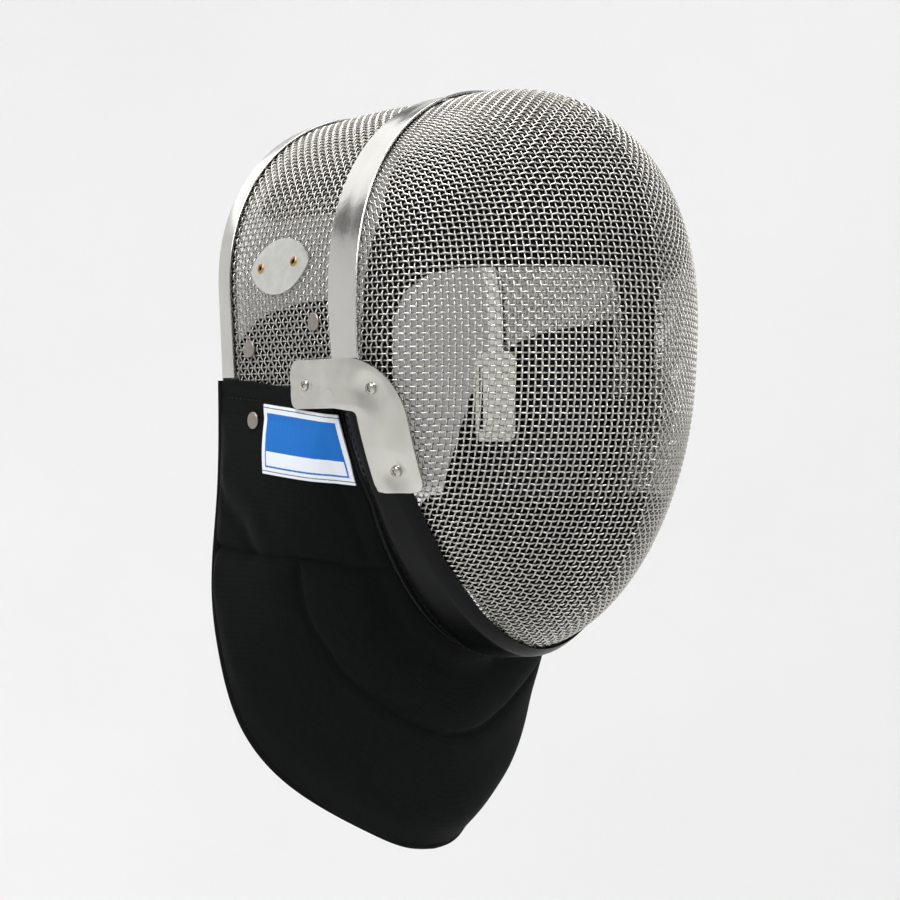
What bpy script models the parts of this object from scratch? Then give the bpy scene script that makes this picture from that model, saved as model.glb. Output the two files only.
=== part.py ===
"""Fencing mask: woven wire bowl, sheet steel bands, cheek brackets, rubber edging and padded bib.

Sizes are in millimetres and turn into metres in one place, new_object.
X points to the wearer's left, Y to the back of the head and Z up.
Shapes are worked out about the cheek line, the cross line through the two cheek brackets.
All pieces hang on one empty there, which stands below and in front of the head seat.
"""
import math

import bmesh
import bpy
import numpy as np
from mathutils.bvhtree import BVHTree

MM = 0.001
GAP = 0.3

# The head seat is the middle of the crown pad's inner face, measured from the cheek line.
SEAT_BACK = 60.0
SEAT_HEIGHT = 126.5

# Bowl: a fan of arches that all end at the two ends of the cheek line.
# An arch leans forward by its angle: 0 is straight up, 90 points ahead, 180 hangs straight down.
# With t the share of the half width, its reach is reach * (1 - ridge t - (1 - ridge) t^w)^(1/r).
CHEEK_HALF_WIDTH = 98.4
BOWL_ARCHES = np.array([
    # angle, reach, ridge, width power w, reach power r
    (-8, 142.5, 0.02, 1.86, 2.65),
    (12, 143.0, 0.07, 1.82, 2.45),
    (34, 139.0, 0.16, 1.76, 2.24),
    (58, 121.5, 0.24, 1.72, 2.05),
    (82, 109.8, 0.30, 1.70, 1.85),
    (106, 110.4, 0.27, 1.72, 1.68),
    (128, 117.8, 0.18, 1.76, 1.50),
    (148, 127.0, 0.07, 1.84, 1.38),
    (168, 135.0, 0.00, 1.95, 1.28),
    (190, 139.0, 0.00, 2.00, 1.22),
])
FRONT_ARCH_ANGLE = -8.0
CHIN_ARCH_ANGLE = 171.0
MESH_THICKNESS = 2.0

# Side and top panel, between the front band's arch and the rear band's arch.
REAR_HALF_WIDTH = 93.4
REAR_BACK = 99.0
REAR_LEAN = 0.074
REAR_SPRING_HEIGHT = 45.0
REAR_CROWN_HEIGHT = 137.5
REAR_WIDTH_POWER = 1.90
REAR_HEIGHT_POWER = 2.04
SIDE_TAPER = 0.05
PANEL_FOOT = -7.0
PANEL_SWELL = 1.5

# Bands.
FRONT_BAND_WIDTH = 20.6
FRONT_BAND_THICKNESS = 1.2
FRONT_BAND_FOOT = -2.0
REAR_BAND_WIDTH = 11.4
REAR_BAND_THICKNESS = 0.8
REAR_BAND_FOOT = 0.5

# Edging: a rubber strip that runs on from the bowl to the bib, with a rolled rear edge.
BORDER_BACK = -17.5
BORDER_SLOPE = 0.103
BORDER_START_RADIUS = 21.0
EDGING_WIDTH = 31.0
EDGING_THICKNESS = 2.2
EDGING_LIP = 0.9
EDGING_FLAT = 8.0
EDGING_RIDGE = 22.0
EDGING_TURN_DEPTH = 5.4
EDGING_SHAPES = np.array([
    # depth below the cheek line, inward lean and widening of what lies past the flat part
    (5.0, 0.24, 0.0),
    (20.0, 0.18, 0.0),
    (45.0, 0.10, 0.0),
    (60.0, 0.10, 0.0),
    (70.0, 0.10, 0.10),
    (92.0, 0.19, 0.33),
    (120.0, 0.31, 0.60),
])

# Cheek brackets: an L of sheet steel, one arm back along the panel and one leg down the bowl.
BRACKET_LIFT = 5.0
BRACKET_THICKNESS = 1.5
ARM_REAR = 39.5
ARM_HEIGHT = -4.2
ARM_HALF_WIDTH = 11.7
LEG_BACK = -18.4
LEG_FOOT = -53.5
LEG_HALF_WIDTH = 13.4
ELBOW_RADIUS = 14.6
BRACKET_CORNER = 5.0
BRACKET_SCREWS = {
    # name: back, height
    "rear": (28.9, -4.4),
    "front": (-15.3, -6.2),
    "lower": (-19.2, -44.4),
}
SCREW_RADIUS = 2.7
SCREW_HEIGHT = 1.7

# Bib: a padded sheet from the hem and the edging down to a curved lower edge.
BIB_HEM_REAR = (100.8, -0.6)
BIB_HEM_FRONT = (12.5, -11.5)
BIB_LIFT = 2.8
BIB_TUCK = 4.4
BIB_TUCK_DEPTH = 30.0
BIB_EDGE = np.array([
    # half width, back, height
    (95.8, 106.0, -0.6),
    (96.0, 107.0, -60.0),
    (97.2, 109.5, -108.0),
    (94.0, 106.5, -143.0),
    (86.5, 99.0, -176.5),
    (74.0, 87.0, -199.5),
    (56.0, 73.5, -216.5),
    (33.0, 61.5, -231.0),
    (14.0, 53.5, -239.5),
    (0.0, 51.0, -241.0),
])
BIB_THIN = 2.2
BIB_THICK = 6.5
BIB_HEM_DEPTH = 17.0
BIB_RIM = 22.0
BIB_OUTER_SHARE = 0.6
BIB_SWELL = 1.0
BIB_THROAT_HOLLOW = 5.0
BIB_TIP_SWELL = 6.0
SEAM_DEPTH = 2.0
SEAM_HALF_WIDTH = 8.0
CHEST_SEAM_HEIGHT = -87.0
THROAT_SEAM_LOW = -185.0
BINDING_RADIUS = 2.2

# Pads inside the bowl.
FOREHEAD_PAD_FOOT = -30.0
FOREHEAD_PAD_FRONT = -22.0
FOREHEAD_PAD_REAR = -1.0
FOREHEAD_PAD_EDGE = 51.5
FOREHEAD_PAD_CORNER = 0.88
FOREHEAD_PAD_REAR_ANGLE = -5.0
FOREHEAD_PAD_NEAR = 4.5
FOREHEAD_PAD_DEEP_LEG = 9.5
FOREHEAD_PAD_DEEP_BROW = 14.0
CROWN_PAD_SHARES = (0.12, 0.86)
CROWN_PAD_DEPTHS = (4.0, 14.5)
CROWN_PAD_FOOT = 84.0
CHIN_PAD_TOP = -58.0
CHIN_PAD_HALF_SHARE = 0.765
CHIN_PAD_LOW_ANGLE = 168.0
CHIN_PAD_DEPTHS = (2.5, 7.5)

# Side flaps: quilted cloth inside the panel, from a sloping top edge down behind the bib.
FLAP_TOP = np.array([
    # back, height of the top edge
    (8.0, 43.0),
    (16.0, 39.5),
    (24.0, 38.0),
    (40.0, 37.0),
    (56.0, 35.5),
    (73.0, 33.0),
    (84.0, 29.5),
    (95.0, 22.0),
    (104.0, 14.0),
    (113.5, 4.0),
])
FLAP_DROP = {"right": 0.0, "left": 6.0}
FLAP_CURL_START = 106.0
FLAP_CURL_SLOPE = 0.42
FLAP_FOOT = -64.0
FLAP_DEPTHS = (2.5, 5.5)
FLAP_FRONT_CLEARANCE = 14.0

# Small hard pieces on the side: back, height and radius, and plates as centres and sizes.
PANEL_RIVETS = {
    "upper": (26.8, 25.9),
    "rear": (80.5, 14.7),
}
BIB_RIVET = (73.2, -21.0)
RIVET_RADIUS = 4.3
RIVET_HEIGHT = 1.8
PANEL_RIVET_LIFT = 0.45
BIB_RIVET_LIFT = 1.3
BADGE_CENTRE = (55.5, 54.0)
BADGE_LENGTH = 45.0
BADGE_HEIGHT = 27.0
BADGE_TILT = -4.0
BADGE_THICKNESS = 1.0
EYELETS = {
    "rear": (69.3, 53.6),
    "front": (43.6, 55.5),
}
EYELET_RADIUS = 2.6
EYELET_HEIGHT = 0.8
LABEL_CORNERS = {
    # back, height
    "upper_rear": (65.5, -13.0),
    "upper_front": (12.0, -19.0),
    "lower_front": (11.0, -52.5),
    "lower_rear": (62.0, -47.0),
}
LABEL_THICKNESS = 0.5
LABEL_LIFT = 0.6
PLATE_HALF_WIDTH = 82.4
PLATE_THICKNESS = 1.2
PLATE_BACK = (75.0, 107.0)
PLATE_HEIGHT = (-31.0, 18.0)
PLATE_CORNER = 3.0
SLOT_BACK = (101.0, 104.0)
SLOT_HEIGHT = (-24.0, 11.0)

COLORS = {
    # name: red, green, blue, metallic, roughness
    "steel_wire": (0.62, 0.61, 0.58, 1.0, 0.32),
    "sheet_steel": (0.66, 0.65, 0.62, 1.0, 0.35),
    "black_rubber": (0.020, 0.021, 0.023, 0.0, 0.38),
    "black_cloth": (0.012, 0.012, 0.013, 0.0, 0.85),
    "navy_cloth": (0.010, 0.014, 0.045, 0.0, 0.85),
    "brass": (0.60, 0.42, 0.16, 1.0, 0.35),
    "woven_label": (0.02, 0.17, 0.52, 0.0, 0.80),
}


def clear_scene():
    """Remove every object of the scene."""
    for thing in list(bpy.data.objects):
        bpy.data.objects.remove(thing, do_unlink=True)


def material(name):
    """The Principled material of one of the listed colours."""
    found = bpy.data.materials.get(name)
    if found:
        return found
    red, green, blue, metallic, roughness = COLORS[name]
    found = bpy.data.materials.new(name)
    found.use_nodes = True
    shader = found.node_tree.nodes["Principled BSDF"]
    shader.inputs["Base Color"].default_value = (red, green, blue, 1.0)
    shader.inputs["Metallic"].default_value = metallic
    shader.inputs["Roughness"].default_value = roughness
    return found


def new_object(name, vertices, faces, finish):
    """Make one closed object from points in millimetres; coinciding points are merged."""
    mesh = bpy.data.meshes.new(name)
    mesh.from_pydata((np.asarray(vertices) * MM).tolist(), [], faces)
    shape = bmesh.new()
    shape.from_mesh(mesh)
    bmesh.ops.remove_doubles(shape, verts=shape.verts, dist=0.02 * MM)
    bmesh.ops.dissolve_degenerate(shape, edges=shape.edges, dist=0.005 * MM)
    bmesh.ops.triangulate(shape, faces=shape.faces)
    bmesh.ops.recalc_face_normals(shape, faces=shape.faces)
    shape.to_mesh(mesh)
    shape.free()
    mesh.shade_smooth()
    mesh.set_sharp_from_angle(angle=math.radians(40))
    mesh.materials.append(material(finish))
    piece = bpy.data.objects.new(name, mesh)
    bpy.context.collection.objects.link(piece)
    piece.parent = bpy.data.objects["cheek_line"]
    return piece


def unit(vectors):
    """Vectors scaled to length one along the last axis."""
    return vectors / np.maximum(np.linalg.norm(vectors, axis=-1, keepdims=True), 1e-9)


def spline(knots, rows, at):
    """Natural cubic spline through the rows at the knots, read at the given places."""
    knots = np.asarray(knots, float)
    rows = np.asarray(rows, float)
    step = np.diff(knots)
    slope = np.diff(rows, axis=0) / step[:, None]
    count = len(knots)
    system = np.eye(count)
    right = np.zeros_like(rows)
    for i in range(1, count - 1):
        system[i, i - 1:i + 2] = (step[i - 1], 2 * (step[i - 1] + step[i]), step[i])
        right[i] = 6 * (slope[i] - slope[i - 1])
    bend = np.linalg.solve(system, right)
    at = np.asarray(at, float)
    i = np.clip(np.searchsorted(knots, at) - 1, 0, count - 2)
    h = step[i][..., None]
    a = (knots[i + 1] - at)[..., None]
    b = (at - knots[i])[..., None]
    curve = (bend[i] * a ** 3 + bend[i + 1] * b ** 3) / (6 * h)
    curve += (rows[i] / h - bend[i] * h / 6) * a
    return curve + (rows[i + 1] / h - bend[i + 1] * h / 6) * b


def spaced(points, count):
    """The same path with the given number of points at equal distances."""
    points = np.asarray(points, float)
    run = np.concatenate([[0.0], np.cumsum(np.linalg.norm(np.diff(points, axis=0), axis=1))])
    at = np.linspace(0.0, run[-1], count)
    return np.stack([np.interp(at, run, points[:, k]) for k in range(3)], axis=-1)


def mirrored(points):
    """The same points on the other side of the middle plane."""
    return np.asarray(points) * np.array([-1.0, 1.0, 1.0])


def grid_normals(grid, inside):
    """Unit normals of a grid of points that point away from the inside point."""
    along = np.gradient(grid, axis=0)
    across = np.gradient(grid, axis=1)
    normals = unit(np.cross(along, across))
    facing = np.sum(normals * (grid - np.asarray(inside)), axis=-1)
    return normals * (1.0 if facing.mean() > 0 else -1.0)


def shell(name, outer, inner, finish):
    """Closed wall between two grids of points that share their rows and columns."""
    rows, columns = outer.shape[:2]
    vertices = np.concatenate([outer.reshape(-1, 3), inner.reshape(-1, 3)])
    index = np.arange(rows * columns).reshape(rows, columns)
    other = index + rows * columns
    faces = []
    for i in range(rows - 1):
        for j in range(columns - 1):
            corners = (index[i, j], index[i + 1, j], index[i + 1, j + 1], index[i, j + 1])
            faces.append(corners)
            faces.append(tuple(other.flat[c] for c in reversed(corners)))
    rim = list(index[0, :]) + list(index[1:, -1]) + list(index[-1, -2::-1]) + list(index[-2:0:-1, 0])
    for a, b in zip(rim, rim[1:] + rim[:1]):
        faces.append((a, b, other.flat[b], other.flat[a]))
    return new_object(name, vertices, faces, finish)


def swept(name, sections, finish):
    """Closed bar through a row of closed sections, with flat ends."""
    count, around = sections.shape[:2]
    vertices = sections.reshape(-1, 3)
    index = np.arange(count * around).reshape(count, around)
    faces = [tuple(index[0, ::-1]), tuple(index[-1])]
    for i in range(count - 1):
        for j in range(around):
            k = (j + 1) % around
            faces.append((index[i, j], index[i, k], index[i + 1, k], index[i + 1, j]))
    return new_object(name, vertices, faces, finish)


def bowl_point(angle, across):
    """Point of the bowl's middle surface.

    The angle is in degrees; across runs from -1, the right end of the cheek line, to 1.
    """
    angle, across = np.broadcast_arrays(np.asarray(angle, float), np.asarray(across, float))
    reach, ridge, wide, round_ = np.moveaxis(spline(BOWL_ARCHES[:, 0], BOWL_ARCHES[:, 1:], angle), -1, 0)
    share = np.abs(across)
    left = np.clip(1 - ridge * share - (1 - ridge) * share ** wide, 0, None)
    height = reach * left ** (1 / round_)
    lean = np.radians(angle)
    return np.stack([across * CHEEK_HALF_WIDTH, -height * np.sin(lean), height * np.cos(lean)], axis=-1)


def bowl_half_width(back, height):
    """Half width of the bowl where a cross line at this back and height meets it."""
    back, height = np.broadcast_arrays(np.asarray(back, float), np.asarray(height, float))
    angle = np.degrees(np.arctan2(-back, height))
    angle = np.where(angle < -90, angle + 360, angle)
    row = spline(BOWL_ARCHES[:, 0], BOWL_ARCHES[:, 1:], angle)
    reach, ridge, wide, round_ = np.moveaxis(row, -1, 0)
    goal = np.clip(np.hypot(back, height) / reach, 0, 1) ** round_
    low = np.zeros_like(goal)
    high = np.ones_like(goal)
    for _ in range(40):
        middle = (low + high) / 2
        above = 1 - ridge * middle - (1 - ridge) * middle ** wide > goal
        low = np.where(above, middle, low)
        high = np.where(above, high, middle)
    return CHEEK_HALF_WIDTH * low


def cheek_half_width(back, height):
    """Half width of the cheek: the bowl ahead of the cheek line and the upright panel behind it."""
    back, height = np.broadcast_arrays(np.asarray(back, float), np.asarray(height, float))
    bowl = bowl_half_width(np.minimum(back, 0), height)
    panel = bowl_half_width(0 * back, np.maximum(height, -4.0)) - SIDE_TAPER * np.maximum(back, 0)
    share = np.clip((back + 6.0) / 12.0, 0, 1)
    return bowl + (panel - bowl) * share


def cheek_point(side, back, height, lift):
    """Point over the cheek surface at the given lift; side is -1 for the wearer's right."""
    back, height = np.broadcast_arrays(np.asarray(back, float), np.asarray(height, float))
    step = 0.5
    slope_back = (cheek_half_width(back + step, height) - cheek_half_width(back - step, height)) / (2 * step)
    slope_up = (cheek_half_width(back, height + step) - cheek_half_width(back, height - step)) / (2 * step)
    normal = unit(np.stack([np.ones_like(back), -slope_back, -slope_up], axis=-1))
    point = np.stack([cheek_half_width(back, height), back, height], axis=-1)
    return (point + normal * lift) * np.array([side, 1.0, 1.0])


def front_arch(foot, count):
    """Front arch from the right foot over the crown to the left foot, at equal distances."""
    fan = np.sin(np.linspace(-0.5, 0.5, 241) * math.pi)
    arch = bowl_point(FRONT_ARCH_ANGLE, fan)
    legs = np.array([[CHEEK_HALF_WIDTH, 0.0, foot]])
    return spaced(np.concatenate([mirrored(legs), arch, legs]), count)


def rear_arch(foot, count):
    """Rear arch from the right foot over the crown to the left foot, at equal distances."""
    turn = np.linspace(0, math.pi, 241)
    width = np.abs(np.cos(turn)) ** (2 / REAR_WIDTH_POWER) * -np.sign(np.cos(turn))
    rise = np.abs(np.sin(turn)) ** (2 / REAR_HEIGHT_POWER)
    height = REAR_SPRING_HEIGHT + (REAR_CROWN_HEIGHT - REAR_SPRING_HEIGHT) * rise
    arch = np.stack([REAR_HALF_WIDTH * width, REAR_BACK + REAR_LEAN * height, height], axis=-1)
    legs = np.array([[REAR_HALF_WIDTH, REAR_BACK + REAR_LEAN * foot, foot]])
    return spaced(np.concatenate([mirrored(legs), arch, legs]), count)


def panel_grid(shares, count, foot=PANEL_FOOT):
    """Middle surface of the side and top panel: rows from the front arch to the rear arch."""
    front = front_arch(foot, count)
    rear = rear_arch(foot, count)
    share = np.asarray(shares, float)[:, None, None]
    flat = front + (rear - front) * share
    outward = unit((flat - np.array([0.0, 0.0, 20.0])) * np.array([1.0, 0.0, 1.0]))
    swell = PANEL_SWELL * np.clip(flat[..., 2:] / REAR_SPRING_HEIGHT, 0, 1)
    return flat + outward * swell * 4 * share * (1 - share)


def face_mesh():
    """The bowl as a wall two wires thick."""
    angles = np.linspace(FRONT_ARCH_ANGLE, CHIN_ARCH_ANGLE, 25)
    fan = np.sin(np.linspace(-0.5, 0.5, 31) * math.pi)
    grid = bowl_point(angles[:, None], fan[None, :])
    step = 0.4
    along = bowl_point(angles[:, None] + step, fan[None, :]) - bowl_point(angles[:, None] - step, fan[None, :])
    near = np.clip(fan, -0.999, 0.999)
    across = bowl_point(angles[:, None], near[None, :] + 1e-3) - bowl_point(angles[:, None], near[None, :] - 1e-3)
    normals = unit(np.cross(along, across))
    normals[:, 0] = (-1, 0, 0)
    normals[:, -1] = (1, 0, 0)
    half = MESH_THICKNESS / 2
    shell("face_mesh", grid + normals * half, grid - normals * half, "steel_wire")


def crown_mesh():
    """The side and top panel as a wall two wires thick, clear of the bowl's edge."""
    start = 0.02
    grid = panel_grid(np.linspace(start, 1.0, 6), 31)
    normals = grid_normals(grid, (0, 50, 40))
    half = MESH_THICKNESS / 2
    shell("crown_mesh", grid + normals * half, grid - normals * half, "steel_wire")


def front_band():
    """Flat steel strip over the joint of the bowl and the panel."""
    count = 47
    middle = front_arch(FRONT_BAND_FOOT, count)
    across = np.clip(middle[:, 0] / CHEEK_HALF_WIDTH, -0.999, 0.999)
    ahead = bowl_point(FRONT_ARCH_ANGLE + 0.5, across) - bowl_point(FRONT_ARCH_ANGLE, across)
    low_down = middle[:, 2] < ARM_HALF_WIDTH
    height = middle[low_down, 2]
    narrower = cheek_half_width(-FRONT_BAND_WIDTH / 2, height) - cheek_half_width(0.0, height)
    ahead[low_down] = np.stack([
        narrower * np.sign(middle[low_down, 0]),
        0 * height - FRONT_BAND_WIDTH / 2,
        0 * height,
    ], axis=-1)
    ahead = unit(ahead)
    panel = panel_grid([0.0, 0.05], count, FRONT_BAND_FOOT)
    behind = unit(panel[1] - panel[0])
    along = np.gradient(middle, axis=0)
    out_ahead = unit(np.cross(ahead, along))
    out_behind = unit(np.cross(along, behind))
    out_middle = unit(out_ahead + out_behind)
    half = FRONT_BAND_WIDTH / 2
    low = MESH_THICKNESS / 2 + GAP
    high = low + FRONT_BAND_THICKNESS
    lines = [
        (middle + ahead * half, out_ahead),
        (middle, out_middle),
        (middle + behind * half, out_behind),
    ]
    outer = np.stack([line + out * high for line, out in lines])
    inner = np.stack([line + out * low for line, out in lines])
    shell("front_band", outer, inner, "sheet_steel")


def rear_band():
    """Steel channel folded round the rear edge of the panel."""
    count = 45
    middle = rear_arch(REAR_BAND_FOOT, count)
    panel = panel_grid([0.95, 1.0], count, REAR_BAND_FOOT)
    behind = unit(panel[1] - panel[0])
    along = np.gradient(middle, axis=0)
    out = unit(np.cross(along, behind))
    low = MESH_THICKNESS / 2 + 1.5 * GAP
    high = low + REAR_BAND_THICKNESS
    half = REAR_BAND_WIDTH / 2
    profile = [
        # behind, outward
        (-half, low), (-half, high), (half - 1, high), (half, low),
        (half, -low), (half - 1, -high), (-half, -high), (-half, -low),
        (half - 5, -low), (half - 5, low),
    ]
    sections = np.stack([middle + behind * b + out * o for b, o in profile], axis=1)
    swept("rear_band", sections, "sheet_steel")


def border_frames(count):
    """Edging's path on the bowl, from the right cheek round the chin to the left cheek.

    Returns the points, the outward normals and the directions that run back along the surface.
    """
    across = np.sin(np.linspace(-0.5, 0.5, 401) * math.pi) * 0.985
    angle = np.full_like(across, 170.0)
    tilt = math.degrees(math.atan(BORDER_SLOPE))
    for _ in range(5):
        point = bowl_point(angle, across)
        radius = np.hypot(point[:, 1], point[:, 2])
        near = np.clip(-BORDER_BACK * math.cos(math.radians(tilt)) / np.maximum(radius, 1), -1, 1)
        angle = 180 - tilt - np.degrees(np.arcsin(near))
    radius = np.hypot(*bowl_point(angle, across)[:, 1:].T)
    keep = radius > BORDER_START_RADIUS
    path = spaced(bowl_point(angle, across)[keep], count)
    across = path[:, 0] / CHEEK_HALF_WIDTH
    angle = np.degrees(np.arctan2(-path[:, 1], path[:, 2]))
    tall = bowl_point(angle + 0.5, across) - bowl_point(angle - 0.5, across)
    wide = bowl_point(angle, across + 1e-3) - bowl_point(angle, across - 1e-3)
    out = unit(np.cross(tall, wide))
    back = np.array([0.0, 1.0, 0.0]) - out * out[:, 1:2]
    return path, out, unit(back)


def edging_line(count, width, lift):
    """Line on the edging at a width behind its border and a lift over the wire's middle."""
    path, out, back = border_frames(count)
    depth = -path[:, 2:]
    lean = np.interp(depth, EDGING_SHAPES[:, 0], EDGING_SHAPES[:, 1])
    widening = np.interp(depth, EDGING_SHAPES[:, 0], EDGING_SHAPES[:, 2])
    past = max(width - EDGING_FLAT, 0.0) * (1 + widening)
    return path + back * (min(width, EDGING_FLAT) + past) + out * (lift - lean * past)


def chin_edging():
    """Rubber strip with a thin front lip, a rounded ridge and a face that turns in behind it."""
    low = MESH_THICKNESS / 2 + 1.6 * GAP
    high = low + EDGING_THICKNESS
    turned = high - EDGING_TURN_DEPTH
    third = (EDGING_WIDTH - EDGING_RIDGE) / 3
    profile = [
        # width behind the border, lift
        (0.0, low), (-0.3, low + EDGING_LIP), (3.0, low + 1.6), (10.0, high), (17.0, high + 0.3),
        (EDGING_RIDGE, high), (EDGING_RIDGE + third, high - 1.3), (EDGING_RIDGE + 2 * third, high - 3.4),
        (EDGING_WIDTH, turned), (EDGING_WIDTH - 0.6, turned - 1.2), (EDGING_RIDGE + third, turned + 1.0),
        (17.0, low), (9.0, low),
    ]
    sections = np.stack([edging_line(33, w, lift) for w, lift in profile], axis=1)
    swept("chin_edging", sections, "black_rubber")


def bracket_grid(side, lift):
    """Surface of an L bracket: rows along the arm, round the elbow and down the leg."""
    centre = (LEG_BACK + ELBOW_RADIUS, ARM_HEIGHT - ELBOW_RADIUS)
    arm = np.array([0.0, 1.6, BRACKET_CORNER, 10.6, 17, 23, 29, 35, 40])
    arm = ARM_REAR - arm[arm < ARM_REAR - centre[0]]
    leg = centre[1] - np.array([6.0, 13, 20, 26, 32])
    foot = LEG_FOOT + np.array([BRACKET_CORNER, 1.6, 0.0])
    rows = [((b, ARM_HEIGHT), (0.0, 1.0), ARM_HALF_WIDTH, ARM_REAR - b) for b in arm]
    for turn in np.linspace(0.0, 90.0, 7):
        a = math.radians(turn)
        half = ARM_HALF_WIDTH + (LEG_HALF_WIDTH - ARM_HALF_WIDTH) * turn / 90
        middle = (centre[0] - ELBOW_RADIUS * math.sin(a), centre[1] + ELBOW_RADIUS * math.cos(a))
        rows.append((middle, (-math.sin(a), math.cos(a)), half, 99.0))
    for height in list(leg[leg > foot[0] + 2]) + list(foot):
        rows.append(((LEG_BACK, height), (-1.0, 0.0), LEG_HALF_WIDTH, height - LEG_FOOT))
    grid = []
    for (back, height), (turn_back, turn_up), half, from_end in rows:
        short = max(BRACKET_CORNER - from_end, 0.0)
        half = half - BRACKET_CORNER + math.sqrt(BRACKET_CORNER ** 2 - short ** 2)
        reach = np.array([1.0, 0.66, 0.33, 0.0, -0.33, -0.66, -1.0]) * half
        grid.append(np.stack([back + turn_back * reach, height + turn_up * reach], axis=-1))
    grid = np.array(grid)
    return cheek_point(side, grid[..., 0], grid[..., 1], lift)


def cheek_bracket(side, name):
    """L-shaped bracket of sheet steel bent to the cheek."""
    outer = bracket_grid(side, BRACKET_LIFT + BRACKET_THICKNESS)
    inner = bracket_grid(side, BRACKET_LIFT)
    shell(name, outer, inner, "sheet_steel")


def dome(name, point, normal, radius, height, finish, sides=12):
    """Low dome such as a rivet's or a screw's head, flat below."""
    normal = unit(np.asarray(normal, float))
    first = unit(np.cross(normal, (0.0, 0.37, 0.93)))
    second = np.cross(normal, first)
    turn = np.linspace(0, 2 * math.pi, sides, endpoint=False)[:, None]
    ring = first * np.cos(turn) + second * np.sin(turn)
    levels = [(1.0, 0.0), (0.98, 0.35), (0.78, 0.78), (0.42, 0.97)]
    rings = [point + ring * radius * r + normal * height * h for r, h in levels]
    vertices = np.concatenate(rings + [[point + normal * height]])
    top = len(vertices) - 1
    faces = [tuple(range(sides))]
    for level in range(len(levels) - 1):
        for j in range(sides):
            k = (j + 1) % sides
            a = level * sides
            faces.append((a + j, a + k, a + sides + k, a + sides + j))
    last = (len(levels) - 1) * sides
    faces += [(last + j, last + (j + 1) % sides, top) for j in range(sides)]
    return new_object(name, vertices, faces, finish)


def bracket_screws(side, label):
    """Pan heads of a bracket's three screws."""
    lift = BRACKET_LIFT + BRACKET_THICKNESS + 1.6 * GAP
    for place, (back, height) in BRACKET_SCREWS.items():
        low = cheek_point(side, back, height, lift)
        high = cheek_point(side, back, height, lift + 1.0)
        dome(f"bracket_screw_{place}_{label}", low, high - low, SCREW_RADIUS, SCREW_HEIGHT, "sheet_steel")


def bib_top(count):
    """Right half of the bib's upper edge, from the rear corner along the hem and the edging."""
    share = np.linspace(0, 1, 12)
    back = BIB_HEM_REAR[0] + (BIB_HEM_FRONT[0] - BIB_HEM_REAR[0]) * share
    height = BIB_HEM_REAR[1] + (BIB_HEM_FRONT[1] - BIB_HEM_REAR[1]) * share ** 1.5
    hem = cheek_point(-1, back, height, BIB_LIFT)
    behind = EDGING_WIDTH + 4 * GAP
    upper = edging_line(161, behind, BIB_LIFT - 1.2)[:81]
    tucked = edging_line(161, behind, BIB_LIFT - BIB_TUCK)[:81]
    share = np.clip((upper[0, 2] - upper[:, 2:]) / BIB_TUCK_DEPTH, 0, 1)
    line = upper + (tucked - upper) * share
    return spaced(np.concatenate([hem, line]), count)


def bib_bottom(count, inset):
    """Right half of the bib's free edge, from the rear corner down and round to the middle.

    The inset is measured inward along the sheet from the binding's outer side.
    """
    rows = mirrored(BIB_EDGE)
    run = np.concatenate([[0.0], np.cumsum(np.linalg.norm(np.diff(rows, axis=0), axis=1))])
    path = spline(run, rows, np.linspace(0, run[-1], 241))
    path = spaced(path, count)
    inner = np.stack([path[:, 0] * 0.9, 5 + 0 * path[:, 0], np.maximum(path[:, 2], -130.0)], axis=-1)
    along = unit(np.gradient(path, axis=0))
    out = path - inner
    out = unit(out - along * np.sum(out * along, axis=-1, keepdims=True))
    out[-1, 0] = 0.0
    path = path - unit(out) * inset
    path[-1, 0] = 0.0
    return path, unit(out)


def bib_half(columns, rows):
    """Middle surface of the bib's right half: straight lines from top to free edge, swelled out.

    The rear column is the rear edge itself; the free edge is read from where that ends.
    """
    top = bib_top(columns)
    edge = bib_bottom(241, 2 * BINDING_RADIUS + 3 * GAP)[0]
    edge[0] = top[0]
    corner = np.argmax(edge[:, 2] < BIB_EDGE[2, 2])
    bottom = spaced(edge[corner:], columns)
    down = np.linspace(0, 1, rows)[None, :, None]
    grid = top[:, None, :] + (bottom - top)[:, None, :] * down
    rear = spaced(edge[:corner + 1], rows)
    share = np.linspace(0, 1, columns)
    fade = np.clip(1 - share / 0.25, 0, 1)[:, None, None] ** 2
    grid = grid + (rear[None] - grid[:1]) * fade
    out = grid_normals(grid, (0, 60, -120))
    side = np.sin(math.pi * np.clip(share * 1.15, 0, 1))[:, None, None] ** 0.7
    front = np.clip((share - 0.4) / 0.35, 0, 1)[:, None, None]
    swell = BIB_SWELL * side * np.sin(math.pi * down) ** 2
    hollow = np.exp(-((down - 0.20) / 0.17) ** 2) * np.minimum(down / 0.1, 1)
    swell = swell - BIB_THROAT_HOLLOW * front * hollow
    swell = swell + BIB_TIP_SWELL * front * np.exp(-((down - 0.80) / 0.15) ** 2)
    return grid + out * swell


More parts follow.
